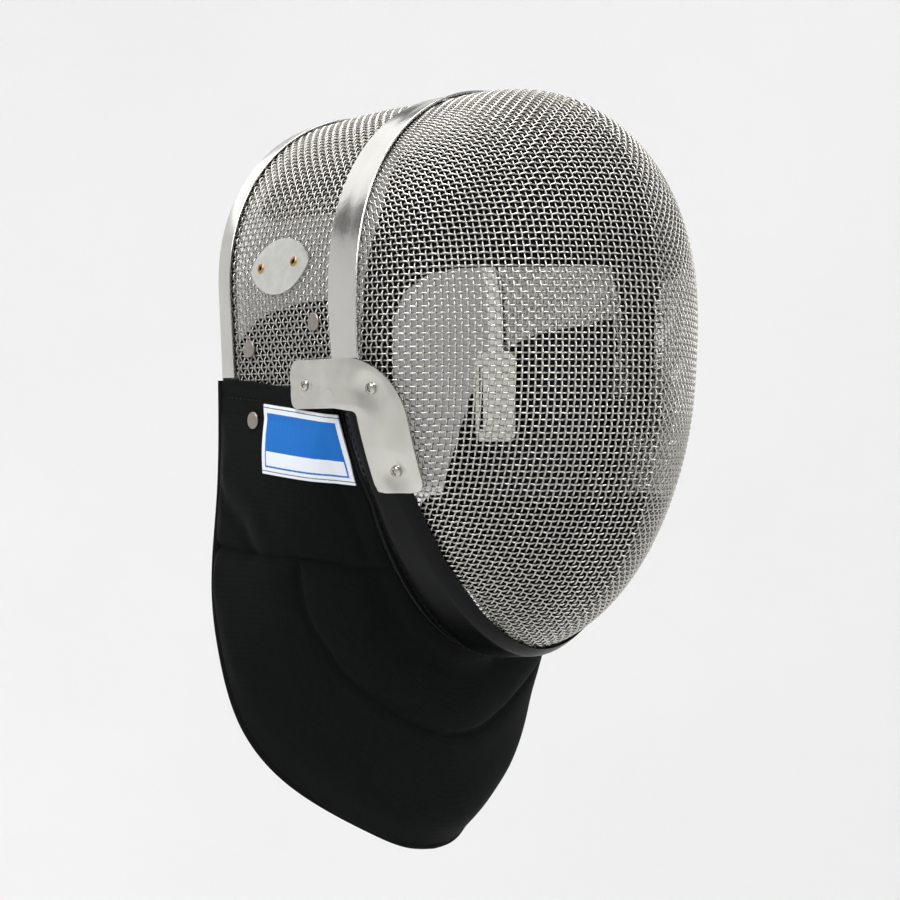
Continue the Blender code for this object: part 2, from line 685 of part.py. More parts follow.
def bib():
    """Padded bib as a wall that is thin at its edges and seams and thick in its panels."""
    half = bib_half(21, 15)
    grid = np.concatenate([half, mirrored(half[-2::-1])])
    normals = grid_normals(grid, (0, 60, -120))
    columns, rows = grid.shape[:2]
    share = 1 - np.abs(np.linspace(-1, 1, columns))[:, None]
    length = np.linalg.norm(np.diff(grid, axis=1), axis=-1)
    below_top = np.pad(np.cumsum(length, axis=1), ((0, 0), (1, 0)))
    above_foot = below_top[:, -1:] - below_top
    rim = np.minimum(np.minimum(below_top - BIB_HEM_DEPTH, above_foot), share * 300)
    padding = (BIB_THICK - BIB_THIN) * np.sin(np.clip(rim / BIB_RIM, 0, 1) * math.pi / 2)
    height = grid[..., 2]
    width = np.abs(grid[..., 0])
    throat_line = THROAT_SEAM_LOW + (CHEST_SEAM_HEIGHT - THROAT_SEAM_LOW) * (width / 88) ** 3
    chest = np.exp(-((height - CHEST_SEAM_HEIGHT) / SEAM_HALF_WIDTH) ** 2)
    throat = np.exp(-((height - throat_line) / SEAM_HALF_WIDTH) ** 2) * (width < 88)
    padding = np.maximum(padding - SEAM_DEPTH * np.maximum(chest, throat), 0)
    outer = grid + normals * (BIB_THIN / 2 + padding * BIB_OUTER_SHARE)[..., None]
    inner = grid - normals * (BIB_THIN / 2 + padding * (1 - BIB_OUTER_SHARE))[..., None]
    shell("bib", outer, inner, "black_cloth")


def bib_binding():
    """Round cloth binding along the bib's free edge."""
    path, out = bib_bottom(33, BINDING_RADIUS)
    path = np.concatenate([path, mirrored(path[-2::-1])])
    out = np.concatenate([out, mirrored(out[-2::-1])])
    along = unit(np.gradient(path, axis=0))
    side = unit(np.cross(along, out))
    turn = np.linspace(0, 2 * math.pi, 6, endpoint=False)
    sections = np.stack([path + out * BINDING_RADIUS * math.cos(t) + side * BINDING_RADIUS * math.sin(t)
                         for t in turn], axis=1)
    swept("bib_binding", sections, "black_cloth")


def surface_tree(pieces):
    """Search tree over the faces of the named objects, in millimetres."""
    vertices = []
    faces = []
    for name in pieces:
        mesh = bpy.data.objects[name].data
        start = len(vertices)
        vertices += [tuple(v.co / MM) for v in mesh.vertices]
        faces += [[start + i for i in polygon.vertices] for polygon in mesh.polygons]
    return BVHTree.FromPolygons(vertices, faces)


def hit(tree, side, back, height, lift, inside=False):
    """Point over or inside the nearest face met along a cross line at a back and height.

    Where the line meets no face, between two pieces, the plain cheek surface is taken.
    """
    start = (0.0, back, height) if inside else (side * 200.0, back, height)
    toward = side if inside else -side
    found, _, _, _ = tree.ray_cast(start, (toward, 0.0, 0.0))
    across = found[0] if found else side * (float(cheek_half_width(back, height)) - MESH_THICKNESS / 2)
    return np.array([across + side * lift, back, height])


def highest_hit(tree, side, back, height, lift, reach=3.5):
    """Point over the highest of nine places met round a back and height."""
    steps = (-reach, 0.0, reach)
    places = [hit(tree, side, back + b, height + h, lift) for b in steps for h in steps]
    across = side * max(abs(place[0]) for place in places)
    return np.array([across, back, height])


def forehead_pad_edges(count):
    """Right half of the pad's front edge and rear edge, each from its foot to the middle."""
    share = np.linspace(0, 1, 40)
    height = FOREHEAD_PAD_FOOT + (FOREHEAD_PAD_EDGE - 14.0 - FOREHEAD_PAD_FOOT) * share
    back = np.full_like(height, FOREHEAD_PAD_FRONT)
    leg = np.stack([-bowl_half_width(back, height), back, height], axis=-1)
    across = FOREHEAD_PAD_CORNER * np.linspace(1, 0, 40)
    angle = np.full_like(across, 60.0)
    for _ in range(8):
        point = bowl_point(angle, across)
        radius = np.hypot(point[:, 1], point[:, 2])
        angle = np.degrees(np.arccos(np.clip(FOREHEAD_PAD_EDGE / radius, -1, 1)))
    front = np.concatenate([leg, mirrored(bowl_point(angle, across))])
    height = FOREHEAD_PAD_FOOT + (80.0 - FOREHEAD_PAD_FOOT) * share
    back = FOREHEAD_PAD_REAR * np.clip(1 - height / 80.0, 0, 1)
    leg = np.stack([-bowl_half_width(back, height), back, height], axis=-1)
    top = bowl_point(FOREHEAD_PAD_REAR_ANGLE, np.linspace(0.66, 0, 40))
    rear = np.concatenate([leg, mirrored(top)])
    return spaced(front, count), spaced(rear, count)


def forehead_pad():
    """Horseshoe of padding inside the bowl, from cheek to cheek over the forehead."""
    front, rear = forehead_pad_edges(15)
    front = np.concatenate([front, mirrored(front[-2::-1])])
    rear = np.concatenate([rear, mirrored(rear[-2::-1])])
    flat = front[:, None] + (rear - front)[:, None] * np.linspace(0, 1, 7)[None, :, None]
    high = np.clip((flat[..., 2:] - 10.0) / 40.0, 0, 1)
    half = bowl_half_width(np.minimum(flat[..., 1], 0), flat[..., 2])
    cheek = np.stack([half * np.sign(flat[..., 0]), flat[..., 1], flat[..., 2]], axis=-1)
    angle = np.degrees(np.arctan2(-flat[..., 1], flat[..., 2]))
    brow = bowl_point(angle, flat[..., 0] / CHEEK_HALF_WIDTH)
    grid = cheek + (brow - cheek) * high
    normals = grid_normals(grid, (0, 40, 0))
    deep = FOREHEAD_PAD_DEEP_LEG + (FOREHEAD_PAD_DEEP_BROW - FOREHEAD_PAD_DEEP_LEG) * high
    shell("forehead_pad", grid - normals * FOREHEAD_PAD_NEAR, grid - normals * deep, "black_cloth")


def crown_pad():
    """Padding under the crown panel, which rests on the head."""
    shares = np.linspace(*CROWN_PAD_SHARES, 7)
    grid = panel_grid(shares, 181)
    keep = grid[3, :, 2] > CROWN_PAD_FOOT
    grid = grid[:, keep]
    grid = grid[:, np.linspace(0, grid.shape[1] - 1, 19).astype(int)]
    normals = grid_normals(grid, (0, 50, 40))
    near, deep = CROWN_PAD_DEPTHS
    shell("crown_pad", grid - normals * near, grid - normals * deep, "black_cloth")


def chin_pad():
    """Padding inside the lower part of the bowl."""
    across = np.linspace(-CHIN_PAD_HALF_SHARE, CHIN_PAD_HALF_SHARE, 15)
    top = np.full_like(across, 120.0)
    for _ in range(6):
        point = bowl_point(top, across)
        radius = np.hypot(point[:, 1], point[:, 2])
        top = np.degrees(np.arccos(np.clip(CHIN_PAD_TOP / radius, -1, 1)))
    angle = top[:, None] + (CHIN_PAD_LOW_ANGLE - top)[:, None] * np.linspace(0, 1, 8)[None, :]
    grid = bowl_point(angle, across[:, None])
    normals = grid_normals(grid, (0, 0, -60))
    near, deep = CHIN_PAD_DEPTHS
    shell("chin_pad", grid - normals * near, grid - normals * deep, "black_cloth")


def side_flap(side, name):
    """Quilted flap inside the side panel and the top of the bib.

    Its rear edge curls in toward the neck, behind the strap plate.
    """
    tree = surface_tree(["crown_mesh", "bib"])
    flat = np.linspace(FLAP_TOP[0, 0], FLAP_CURL_START, 9)
    columns = np.append(flat, np.linspace(FLAP_CURL_START, FLAP_TOP[-1, 0], 5)[1:])
    tops = np.interp(columns, FLAP_TOP[:, 0], FLAP_TOP[:, 1]) - FLAP_DROP["right" if side < 0 else "left"]
    curled = np.clip((columns - FLAP_CURL_START) / (FLAP_TOP[-1, 0] - FLAP_CURL_START), 0, 1) ** 2
    outer = []
    for back, top, curl in zip(columns, tops, curled):
        column = []
        for height in np.linspace(top, FLAP_FOOT, 9):
            moved = max(back, FLAP_FRONT_CLEARANCE - height * 0.32) if height < 0 else back
            inward = curl * FLAP_CURL_SLOPE * max(-height, 0.0)
            column.append(hit(tree, side, max(moved, back), height, -inward, inside=True))
        outer.append(column)
    outer = np.array(outer)
    across = np.array([side, 0.0, 0.0])
    near, deep = FLAP_DEPTHS
    shell(name, outer - across * near, outer - across * deep, "navy_cloth")


def strap_plate(side, name):
    """Flat plate at the rear of the side, with an upright slot for a strap."""
    low_back, high_back = PLATE_BACK
    low, high = PLATE_HEIGHT
    slot_low_back, slot_high_back = SLOT_BACK
    slot_low, slot_high = SLOT_HEIGHT
    cut = PLATE_CORNER
    outline = [
        (low_back + cut, low), (high_back - cut, low), (high_back, low + cut), (high_back, high - cut),
        (high_back - cut, high), (low_back + cut, high), (low_back, high - cut), (low_back, low + cut),
    ]
    slot = [
        (slot_low_back, slot_low), (slot_high_back, slot_low), (slot_high_back, slot_low + 1),
        (slot_high_back, slot_high - 1), (slot_high_back, slot_high), (slot_low_back, slot_high),
        (slot_low_back, slot_high - 1), (slot_low_back, slot_low + 1),
    ]
    levels = (PLATE_HALF_WIDTH, PLATE_HALF_WIDTH + PLATE_THICKNESS)
    vertices = [(side * x, b, h) for x in levels for b, h in outline + slot]
    count = len(outline)
    faces = []
    for i in range(count):
        j = (i + 1) % count
        faces.append((i, j, count + j, count + i))
        faces.append((2 * count + i, 3 * count + i, 3 * count + j, 2 * count + j))
        faces.append((i, 2 * count + i, 2 * count + j, j))
        faces.append((count + i, count + j, 3 * count + j, 3 * count + i))
    new_object(name, vertices, faces, "sheet_steel")


def panel_rivets(side, label):
    """Rivet heads on the side panel and on the bib's upper rear corner."""
    tree = surface_tree(["crown_mesh", "bib"])
    places = dict(PANEL_RIVETS, bib=BIB_RIVET)
    for place, (back, height) in places.items():
        lift = BIB_RIVET_LIFT if place == "bib" else PANEL_RIVET_LIFT
        point = hit(tree, side, back, height, lift)
        dome(f"rivet_{place}_{label}", point, (side, 0.05, 0.0), RIVET_RADIUS, RIVET_HEIGHT, "sheet_steel")


def badge(side):
    """Almond-shaped metal badge that lies on the side panel, with two brass eyelets."""
    tree = surface_tree(["crown_mesh"])
    tilt = math.radians(BADGE_TILT)
    outer = []
    for u in np.linspace(-1, 1, 13):
        half = BADGE_HEIGHT / 2 * max(1 - abs(u) ** 2.1, 0.004) ** 0.72
        line = []
        for v in np.linspace(-1, 1, 5):
            along = u * BADGE_LENGTH / 2
            up = v * half
            back = BADGE_CENTRE[0] + along * math.cos(tilt) - up * math.sin(tilt)
            height = BADGE_CENTRE[1] + along * math.sin(tilt) + up * math.cos(tilt)
            line.append(hit(tree, side, back, height, GAP + 0.1))
        outer.append(line)
    inner = np.array(outer)
    across = np.array([side, 0.0, 0.0])
    shell("side_badge", inner + across * BADGE_THICKNESS, inner, "sheet_steel")
    for place, (back, height) in EYELETS.items():
        point = hit(tree, side, back, height, 2 * GAP + BADGE_THICKNESS + 0.15)
        dome(f"badge_eyelet_{place}", point, (side, 0.05, 0.1), EYELET_RADIUS, EYELET_HEIGHT, "brass", 10)


def side_label(side):
    """Woven label sewn to the bib below the hem."""
    tree = surface_tree(["bib"])
    corners = {place: np.array(at) for place, at in LABEL_CORNERS.items()}
    lines = []
    for u in np.linspace(0, 1, 9):
        upper = corners["upper_rear"] + (corners["upper_front"] - corners["upper_rear"]) * u
        lower = corners["lower_rear"] + (corners["lower_front"] - corners["lower_rear"]) * u
        line = []
        for v in np.linspace(0, 1, 6):
            back, height = upper + (lower - upper) * v
            line.append(highest_hit(tree, side, back, height, LABEL_LIFT))
        lines.append(line)
    inner = np.array(lines)
    across = np.array([side, 0.0, 0.0])
    shell("side_label", inner + across * LABEL_THICKNESS, inner, "woven_label")


def main():
    """Build all pieces on the cheek line."""
    clear_scene()
    cheek_line = bpy.data.objects.new("cheek_line", None)
    bpy.context.collection.objects.link(cheek_line)
    cheek_line.location = (0.0, -SEAT_BACK * MM, -SEAT_HEIGHT * MM)
    face_mesh()
    crown_mesh()
    front_band()
    rear_band()
    chin_edging()
    for side, label in ((-1, "right"), (1, "left")):
        cheek_bracket(side, f"cheek_bracket_{label}")
        bracket_screws(side, label)
    bib()
    bib_binding()
    forehead_pad()
    crown_pad()
    chin_pad()
    for side, label in ((-1, "right"), (1, "left")):
        side_flap(side, f"side_flap_{label}")
        strap_plate(side, f"strap_plate_{label}")
        panel_rivets(side, label)
    badge(-1)
    side_label(-1)


main()
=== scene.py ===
"""Woven wire, sheet steel, rubber and padded cloth that dress a fencing mask.

Shapes are worked out in millimetres about the cheek line, the cross line through the two cheek brackets:
X points to the wearer's left, Y to the back of the head and Z up. placed() turns them into metres
about the head seat, where the frame has its origin.
"""

import logging
import math
from dataclasses import dataclass, replace
from enum import Enum
from functools import lru_cache
from typing import Any, Optional, Sequence

import bmesh
import bpy
import numpy as np
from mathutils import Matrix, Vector


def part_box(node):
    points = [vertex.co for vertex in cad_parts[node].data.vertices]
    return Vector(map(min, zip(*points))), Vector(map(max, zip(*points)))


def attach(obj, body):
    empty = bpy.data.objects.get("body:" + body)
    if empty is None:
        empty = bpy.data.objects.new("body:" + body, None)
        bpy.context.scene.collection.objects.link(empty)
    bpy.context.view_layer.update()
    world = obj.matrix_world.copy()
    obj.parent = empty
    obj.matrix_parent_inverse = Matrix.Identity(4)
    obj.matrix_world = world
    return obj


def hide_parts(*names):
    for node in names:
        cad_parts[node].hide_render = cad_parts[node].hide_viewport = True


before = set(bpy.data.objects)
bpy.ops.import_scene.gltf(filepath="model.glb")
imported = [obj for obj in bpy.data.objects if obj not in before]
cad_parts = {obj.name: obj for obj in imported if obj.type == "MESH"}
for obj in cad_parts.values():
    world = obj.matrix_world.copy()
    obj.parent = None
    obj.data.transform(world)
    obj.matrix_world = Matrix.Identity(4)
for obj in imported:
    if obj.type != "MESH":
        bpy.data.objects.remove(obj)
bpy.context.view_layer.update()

LOG = logging.getLogger("fencing_mask")
MM = 0.001
GAP = 0.3
HEAD_SEAT = np.array([0.0, 60.0, 126.5])
BADGE_HOLES = {"rear": (69.3, 53.6), "front": (43.6, 55.5)}  # backs and heights
WAVE_RADIANS = 20  # phase that Blender's wave texture runs through in a metre at scale 1
Array = np.ndarray
Form = tuple[Array, list[Array]]
Socket = bpy.types.NodeSocket


class Side(Enum):
    """The wearer's right, which the photograph shows, and left."""

    RIGHT = -1
    LEFT = 1

    @property
    def label(self) -> str:
        """Name of the side as the nodes spell it."""
        return self.name.lower()


# ---------------------------------------------------------------- small geometry helpers


def placed(points: Array) -> Array:
    """Points in metres about the head seat, from millimetres about the cheek line."""
    return (np.asarray(points, float) - HEAD_SEAT) * MM


def unit(vectors: Array) -> Array:
    """Vectors scaled to length one along the last axis."""
    return vectors / np.maximum(np.linalg.norm(vectors, axis=-1, keepdims=True), 1e-9)


def spline(knots: Array, rows: Array, at: Array) -> Array:
    """Natural cubic spline: each span is the cubic whose second slopes join those of its neighbours.

    Args:
        knots: Rising places of the rows.
        rows: Values at the knots, one row each.
        at: Places to read.

    Returns:
        One row of values for each place.
    """
    knots = np.asarray(knots, float)
    rows = np.asarray(rows, float)
    step = np.diff(knots)
    slope = np.diff(rows, axis=0) / step[:, None]
    count = len(knots)
    system = np.eye(count)
    right = np.zeros_like(rows)
    for i in range(1, count - 1):
        system[i, i - 1:i + 2] = (step[i - 1], 2 * (step[i - 1] + step[i]), step[i])
        right[i] = 6 * (slope[i] - slope[i - 1])
    bend = np.linalg.solve(system, right)
    at = np.asarray(at, float)
    i = np.clip(np.searchsorted(knots, at) - 1, 0, count - 2)
    h = step[i][..., None]
    a = (knots[i + 1] - at)[..., None]
    b = (at - knots[i])[..., None]
    curve = (bend[i] * a ** 3 + bend[i + 1] * b ** 3) / (6 * h)
    curve += (rows[i] / h - bend[i] * h / 6) * a
    return curve + (rows[i + 1] / h - bend[i + 1] * h / 6) * b


def run_of(points: Array) -> Array:
    """Distance along a path from its start to each of its points."""
    return np.concatenate([[0.0], np.cumsum(np.linalg.norm(np.diff(points, axis=0), axis=1))])


def read_at(at: Array, run: Array, rows: Array) -> Array:
    """Rows along a path read at distances from its start, on straight lines between its points."""
    return np.stack([np.interp(at, run, rows[:, k]) for k in range(3)], axis=-1)


def at_shares(points: Array, shares: Array) -> Array:
    """Points of a path at shares of its length."""
    run = run_of(points)
    return read_at(shares * run[-1], run, points)


def turns(count: int) -> Array:
    """Angles of equal steps round a circle."""
    return np.linspace(0, 2 * math.pi, count, endpoint=False)


def spaced(points: Array, count: int) -> Array:
    """The same path with the given number of points at equal distances."""
    return at_shares(points, np.linspace(0, 1, count))


def resampled(values: Array, old: Array, new: Array, axis: int) -> Array:
    """Values of a grid read at new places along one axis, on straight lines between the old places."""
    low = np.clip(np.searchsorted(old, new) - 1, 0, len(old) - 2)
    shape = [1] * values.ndim
    shape[axis] = -1
    share = ((new - old[low]) / (old[low + 1] - old[low])).reshape(shape)
    return np.take(values, low, axis) * (1 - share) + np.take(values, low + 1, axis) * share


def flat_map(along: Array, across: Array) -> Array:
    """Places on the flat of a grid's points, in rows, from their runs along and across."""
    return np.stack(np.broadcast_arrays(along, across), -1).reshape(-1, 2)


def distance_over(points: Array, normals: Array, line: Sequence[tuple]) -> Array:
    """Distance along a surface from its points to a line: the gap less its part along the normal.

    Args:
        points: Points of the surface.
        normals: Unit normals there.
        line: Corners of the line, which lies close over the surface.

    Returns:
        The least distance of each point.
    """
    corners = np.array(line, float)
    least = np.full(points.shape[:-1], np.inf)
    for start, end in zip(corners[:-1], corners[1:]):
        away = points - start
        run = end - start
        share = np.clip(away @ run / (run @ run), 0, 1)
        away = away - share[..., None] * run
        away = away - normals * np.sum(away * normals, axis=-1, keepdims=True)
        least = np.minimum(least, np.linalg.norm(away, axis=-1))
    return least


def mirrored(points: Array) -> Array:
    """The same points on the other side of the middle plane."""
    return np.asarray(points) * np.array([-1.0, 1.0, 1.0])


def doubled(half: Array) -> Array:
    """Points of both sides: a half that ends on the middle plane, and its mirror image behind it."""
    return np.concatenate([half, mirrored(half[-2::-1])])


def grid_normals(grid: Array, inside: Sequence[float]) -> Array:
    """Unit normals of a grid, the cross product of its two slopes, that point away from a point."""
    normals = unit(np.cross(np.gradient(grid, axis=0), np.gradient(grid, axis=1)))
    facing = np.sum(normals * (grid - np.asarray(inside)), axis=-1)
    return normals * (1.0 if facing.mean() > 0 else -1.0)


def bell(distance: Array, reach: float) -> Array:
    """exp(-(distance / reach)^2)."""
    return np.exp(-(distance / reach) ** 2)


def smooth_step(low: float, high: float, value: Array) -> Array:
    """0 below low, 1 above high and 3t^2 - 2t^3 between them."""
    share = np.clip((np.asarray(value, float) - low) / (high - low), 0, 1)
    return share * share * (3 - 2 * share)


def lattice(rows: int, columns: int, first: int = 0) -> Array:
    """Four-sided faces of a grid of points numbered row by row."""
    index = np.arange(rows * columns).reshape(rows, columns) + first
    return np.stack([index[:-1, :-1], index[1:, :-1], index[1:, 1:], index[:-1, 1:]], -1).reshape(-1, 4)


def wall(outer: Array, inner: Array) -> Form:
    """Closed wall between two grids that share their rows and columns.

    Args:
        outer: Grid of points on one side.
        inner: Grid of points on the other side.

    Returns:
        The points and the faces.
    """
    rows, columns = outer.shape[:2]
    total = rows * columns
    index = np.arange(total).reshape(rows, columns)
    rim = np.concatenate([index[0], index[1:, -1], index[-1, -2::-1], index[-2:0:-1, 0]])
    ahead = np.roll(rim, -1)
    faces = np.concatenate([
        lattice(rows, columns),
        lattice(rows, columns, total)[:, ::-1],
        np.stack([rim, ahead, ahead + total, rim + total], -1),
    ])
    return np.concatenate([outer.reshape(-1, 3), inner.reshape(-1, 3)]), [faces]


def swept(sections: Array, closed: bool = False) -> Form:
    """Closed bar through a row of closed sections, with flat ends unless the row itself closes.

    Args:
        sections: One section after another, each a ring of points.
        closed: Whether the last section joins the first.

    Returns:
        The points and the faces.
    """
    count, around = sections.shape[:2]
    index = np.arange(count * around).reshape(count, around)
    start = index if closed else index[:-1]
    end = np.roll(index, -1, axis=0) if closed else index[1:]
    faces = np.stack([start, np.roll(start, -1, axis=1), np.roll(end, -1, axis=1), end], -1).reshape(-1, 4)
    caps = [] if closed else [index[:1, ::-1], index[-1:]]
    return sections.reshape(-1, 3), [faces, *caps]


def stitched(path: Array, out: Array, pitch: float, length: float, radius: float) -> Form:
    """Row of stitches: short round bars along a path that sink into the cloth at both ends.

    At t from -1 to 1 along a stitch, its middle stands radius * (0.6 - 1.2 t^2) over the path and its
    own radius is radius * sqrt(1 - 0.6 t^2).

    Args:
        path: Points of the seam.
        out: Direction away from the cloth at each point.
        pitch: Distance from stitch to stitch.
        length: Length of a stitch.
        radius: Radius of the thread.

    Returns:
        The points and the faces of all stitches.
    """
    run = run_of(path)
    count = int(run[-1] / pitch)
    t = np.linspace(-1, 1, 5)
    at = (np.arange(count)[:, None] + 0.5) * pitch + t * length / 2
    middle = read_at(at, run, path)
    up = unit(read_at(at, run, out))
    side = unit(np.cross(np.gradient(middle, axis=1), up))
    middle = middle + up * radius * (0.6 - 1.2 * t[:, None] ** 2)
    turn = turns(6)[:, None]
    ring = up[:, :, None] * np.cos(turn) + side[:, :, None] * np.sin(turn)
    points = middle[:, :, None] + ring * radius * np.sqrt(1 - 0.6 * t ** 2)[:, None, None]
    index = np.arange(count * 30).reshape(count, 5, 6)
    beside = np.roll(index, -1, axis=2)
    quads = np.stack([index[:, :-1], beside[:, :-1], beside[:, 1:], index[:, 1:]], -1).reshape(-1, 4)
    return points.reshape(-1, 3), [quads, index[:, 0, ::-1], index[:, -1]]


def axes_about(normal: Array) -> tuple[Array, Array, Array]:
    """Two axes across a normal, at right angles, and the normal itself, all of length one."""
    normal = unit(np.asarray(normal, float))
    first = unit(np.cross(normal, (0.0, 0.37, 0.93)))
    return first, np.cross(normal, first), normal


def turned(point: Array, normal: Array, profile: Sequence[tuple[float, float]], sides: int = 32) -> tuple:
    """Surface of revolution: each profile row is a radius and a height along the normal, from rim to top.

    Args:
        point: Middle of the piece's foot.
        normal: Direction of its axis.
        profile: Radius and height of each ring; the first and the last ring are closed with flat faces.
        sides: Points in a ring.

    Returns:
        The points and the faces.
    """
    first, second, normal = axes_about(normal)
    turn = turns(sides)[:, None]
    ring = first * np.cos(turn) + second * np.sin(turn)
    sections = np.stack([point + ring * radius + normal * height for radius, height in profile])
    return swept(sections)


def turned_ring(point: Array, normal: Array, profile: Sequence[tuple[float, float]], sides: int) -> dict:
    """Ring: a closed profile of radii and heights turned about the normal, as a piece's form and map."""
    sections = turned(point, normal, profile, sides)[0].reshape(len(profile), sides, 3).transpose(1, 0, 2)
    points, faces = swept(sections, closed=True)
    return {"points": points, "faces": faces, "uv": points[:, 1:]}


def facing_out(points: Array, faces: list[Array]) -> list[Array]:
    """The faces, turned round if the volume they enclose, a sum of corner products, is negative."""
    volume = 0.0
    for group in faces:
        a = points[group[:, 0]]
        for k in range(1, group.shape[1] - 1):
            volume += np.sum(a * np.cross(points[group[:, k]], points[group[:, k + 1]]))
    return faces if volume > 0 else [group[:, ::-1] for group in faces]


def new_piece(
    name: str,
    points: Array,
    faces: list[Array],
    finish: "Finish",
    uv: Optional[Array] = None,
    sharp: float = 40.0,
    replaces: Sequence[str] = (),
) -> bpy.types.Object:
    """Make one closed piece, let it ride on the body and hide the nodes it stands for.

    Args:
        name: Name of the piece.
        points: Corners in millimetres about the cheek line.
        faces: Groups of faces, each an array with one row of corners a face.
        finish: Finish that it wears.
        uv: Place of each corner on the cloth or sheet, in millimetres; the second face of a wall
            repeats the first one's.
        sharp: Angle in degrees past which an edge stays sharp.
        replaces: CAD nodes that it stands for.

    Returns:
        The new object.
    """
    groups = facing_out(points, faces)
    loops = np.concatenate([group.ravel() for group in groups]).astype(np.int32)
    sizes = np.concatenate([np.full(len(group), group.shape[1]) for group in groups])
    mesh = bpy.data.meshes.new(name)
    mesh.vertices.add(len(points))
    mesh.vertices.foreach_set("co", placed(points).astype(np.float32).ravel())
    mesh.loops.add(len(loops))
    mesh.loops.foreach_set("vertex_index", loops)
    mesh.polygons.add(len(sizes))
    starts = np.concatenate([[0], np.cumsum(sizes)[:-1]]).astype(np.int32)
    mesh.polygons.foreach_set("loop_start", starts)
    mesh.update(calc_edges=True)
    if uv is not None:
        layer = mesh.uv_layers.new(name="surface")
        places = np.resize(uv * MM, (len(points), 2))
        layer.data.foreach_set("uv", places[loops].astype(np.float32).ravel())
    mesh.shade_smooth()
    mesh.set_sharp_from_angle(angle=math.radians(sharp))
    return dressed(name, mesh, finish, replaces)


def linked(name: str, data: bpy.types.ID) -> bpy.types.Object:
    """New object in the scene."""
    made = bpy.data.objects.new(name, data)
    bpy.context.scene.collection.objects.link(made)
    return made


def dressed(
    name: str, mesh: bpy.types.Mesh, finish: "Finish", replaces: Sequence[str] = ()
) -> bpy.types.Object:
    """Make a piece of a mesh, give it its finish and body, and hide the nodes that it stands for."""
    piece = linked(name, mesh)
    piece.data.materials.clear()
    piece.data.materials.append(finish.material())
    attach(piece, "root")
    if replaces:
        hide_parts(*replaces)
    LOG.info("%s: %d faces", piece.name, len(piece.data.polygons))
    return piece


def rounded(piece: bpy.types.Object, width: float, segments: int = 2) -> bpy.types.Object:
    """Break the sharp edges of a piece with a bevel of the given width in millimetres."""
    bevel = piece.modifiers.new("broken_edge", "BEVEL")
    bevel.width = width * MM
    bevel.segments = segments
    bevel.limit_method = "ANGLE"
    bevel.angle_limit = math.radians(35)
    bevel.harden_normals = False
    return piece


# ---------------------------------------------------------------- finishes


def linear(hex_colour: str) -> tuple[float, float, float, float]:
    """Linear red, green, blue and alpha of an sRGB hex colour."""
    values = [int(hex_colour[i:i + 2], 16) / 255 for i in (1, 3, 5)]
    red, green, blue = [v / 12.92 if v <= 0.04045 else ((v + 0.055) / 1.055) ** 2.4 for v in values]
    return (red, green, blue, 1.0)


class Recipe:
    """Node tree of one material, with the kinds of node that the finishes are made of."""

    def __init__(self, tree: bpy.types.NodeTree) -> None:
        """Take the tree, its shader, and the places on the object and on its flat map."""
        self.tree = tree
        self.shader = tree.nodes["Principled BSDF"]
        self.place = self.add("TexCoord", {}, "Object")
        self.flat = self.place.node.outputs["UV"]

    def feed(self, node: bpy.types.Node, inputs: dict) -> None:
        """Link or set inputs of a node, by the input's name or number."""
        for key, value in inputs.items():
            if isinstance(value, Socket):
                self.tree.links.new(value, node.inputs[key])
            else:
                node.inputs[key].default_value = value

    def add(self, kind: str, inputs: dict, output: Any = 0, **settings: Any) -> Socket:
        """Add a node with its settings and inputs.

        Args:
            kind: Kind of node without its ShaderNode prefix.
            inputs: Sockets to link or values to set, by the input's name or number.
            output: Name or number of the output to read.
            settings: Attributes of the node.

        Returns:
            The output.
        """
        made = self.tree.nodes.new("ShaderNode" + kind)
        for key, value in settings.items():
            setattr(made, key, value)
        self.feed(made, inputs)
        return made.outputs[output]

    def shade(self, inputs: dict) -> None:
        """Link or set inputs of the shader."""
        self.feed(self.shader, inputs)

    def noise(
        self, scale: float, detail: float, place: Optional[Socket] = None, rough: float = 0.5
    ) -> Socket:
        """Cloudy noise with a number of waves a metre, at places on the object unless others are given."""
        inputs = {"Vector": place or self.place, "Scale": scale, "Detail": detail, "Roughness": rough}
        return self.add("TexNoise", inputs)

    def cells(self, scale: float, randomness: float = 1.0) -> Socket:
        """Distance to the nearest of scattered points, with a number of them a metre."""
        inputs = {"Vector": self.place, "Scale": scale, "Randomness": randomness}
        return self.add("TexVoronoi", inputs, "Distance")

    def waves(self, scale: float, distortion: float, way: str, **more: float) -> Socket:
        """Ribs across one way of the flat map."""
        inputs = {"Vector": self.flat, "Scale": scale, "Distortion": distortion}
        return self.add("TexWave", {**inputs, **more}, 1, bands_direction=way)

    def remap(self, value: Socket, source: tuple, target: tuple, **settings: Any) -> Socket:
        """The value with its source range stretched to the target range."""
        return self.add("MapRange", dict(enumerate((value, *source, *target))), **settings)

    def blend(self, share: Any, low: Any, high: Any) -> Socket:
        """Number between low and high by a share."""
        return self.add("Mix", {0: share, 2: low, 3: high}, data_type="FLOAT")

    def tint(self, share: Any, low: Any, high: Any) -> Socket:
        """Colour between low and high by a share; a text is a hex colour."""
        low, high = [linear(tone) if isinstance(tone, str) else tone for tone in (low, high)]
        return self.add("Mix", {0: share, 6: low, 7: high}, 2, data_type="RGBA")

    def maths(self, operation: str, first: Any, second: Any) -> Socket:
        """Result of one operation on two numbers."""
        return self.add("Math", {0: first, 1: second}, operation=operation)

    def bump(
        self, height: Socket, strength: float, depth_mm: float, under: Optional[Socket] = None
    ) -> Socket:
        """Normal bent by a height, over another bump where one is given."""
        inputs = {"Height": height, "Strength": strength, "Distance": depth_mm * MM}
        return self.add("Bump", {**inputs, "Normal": under} if under else inputs)


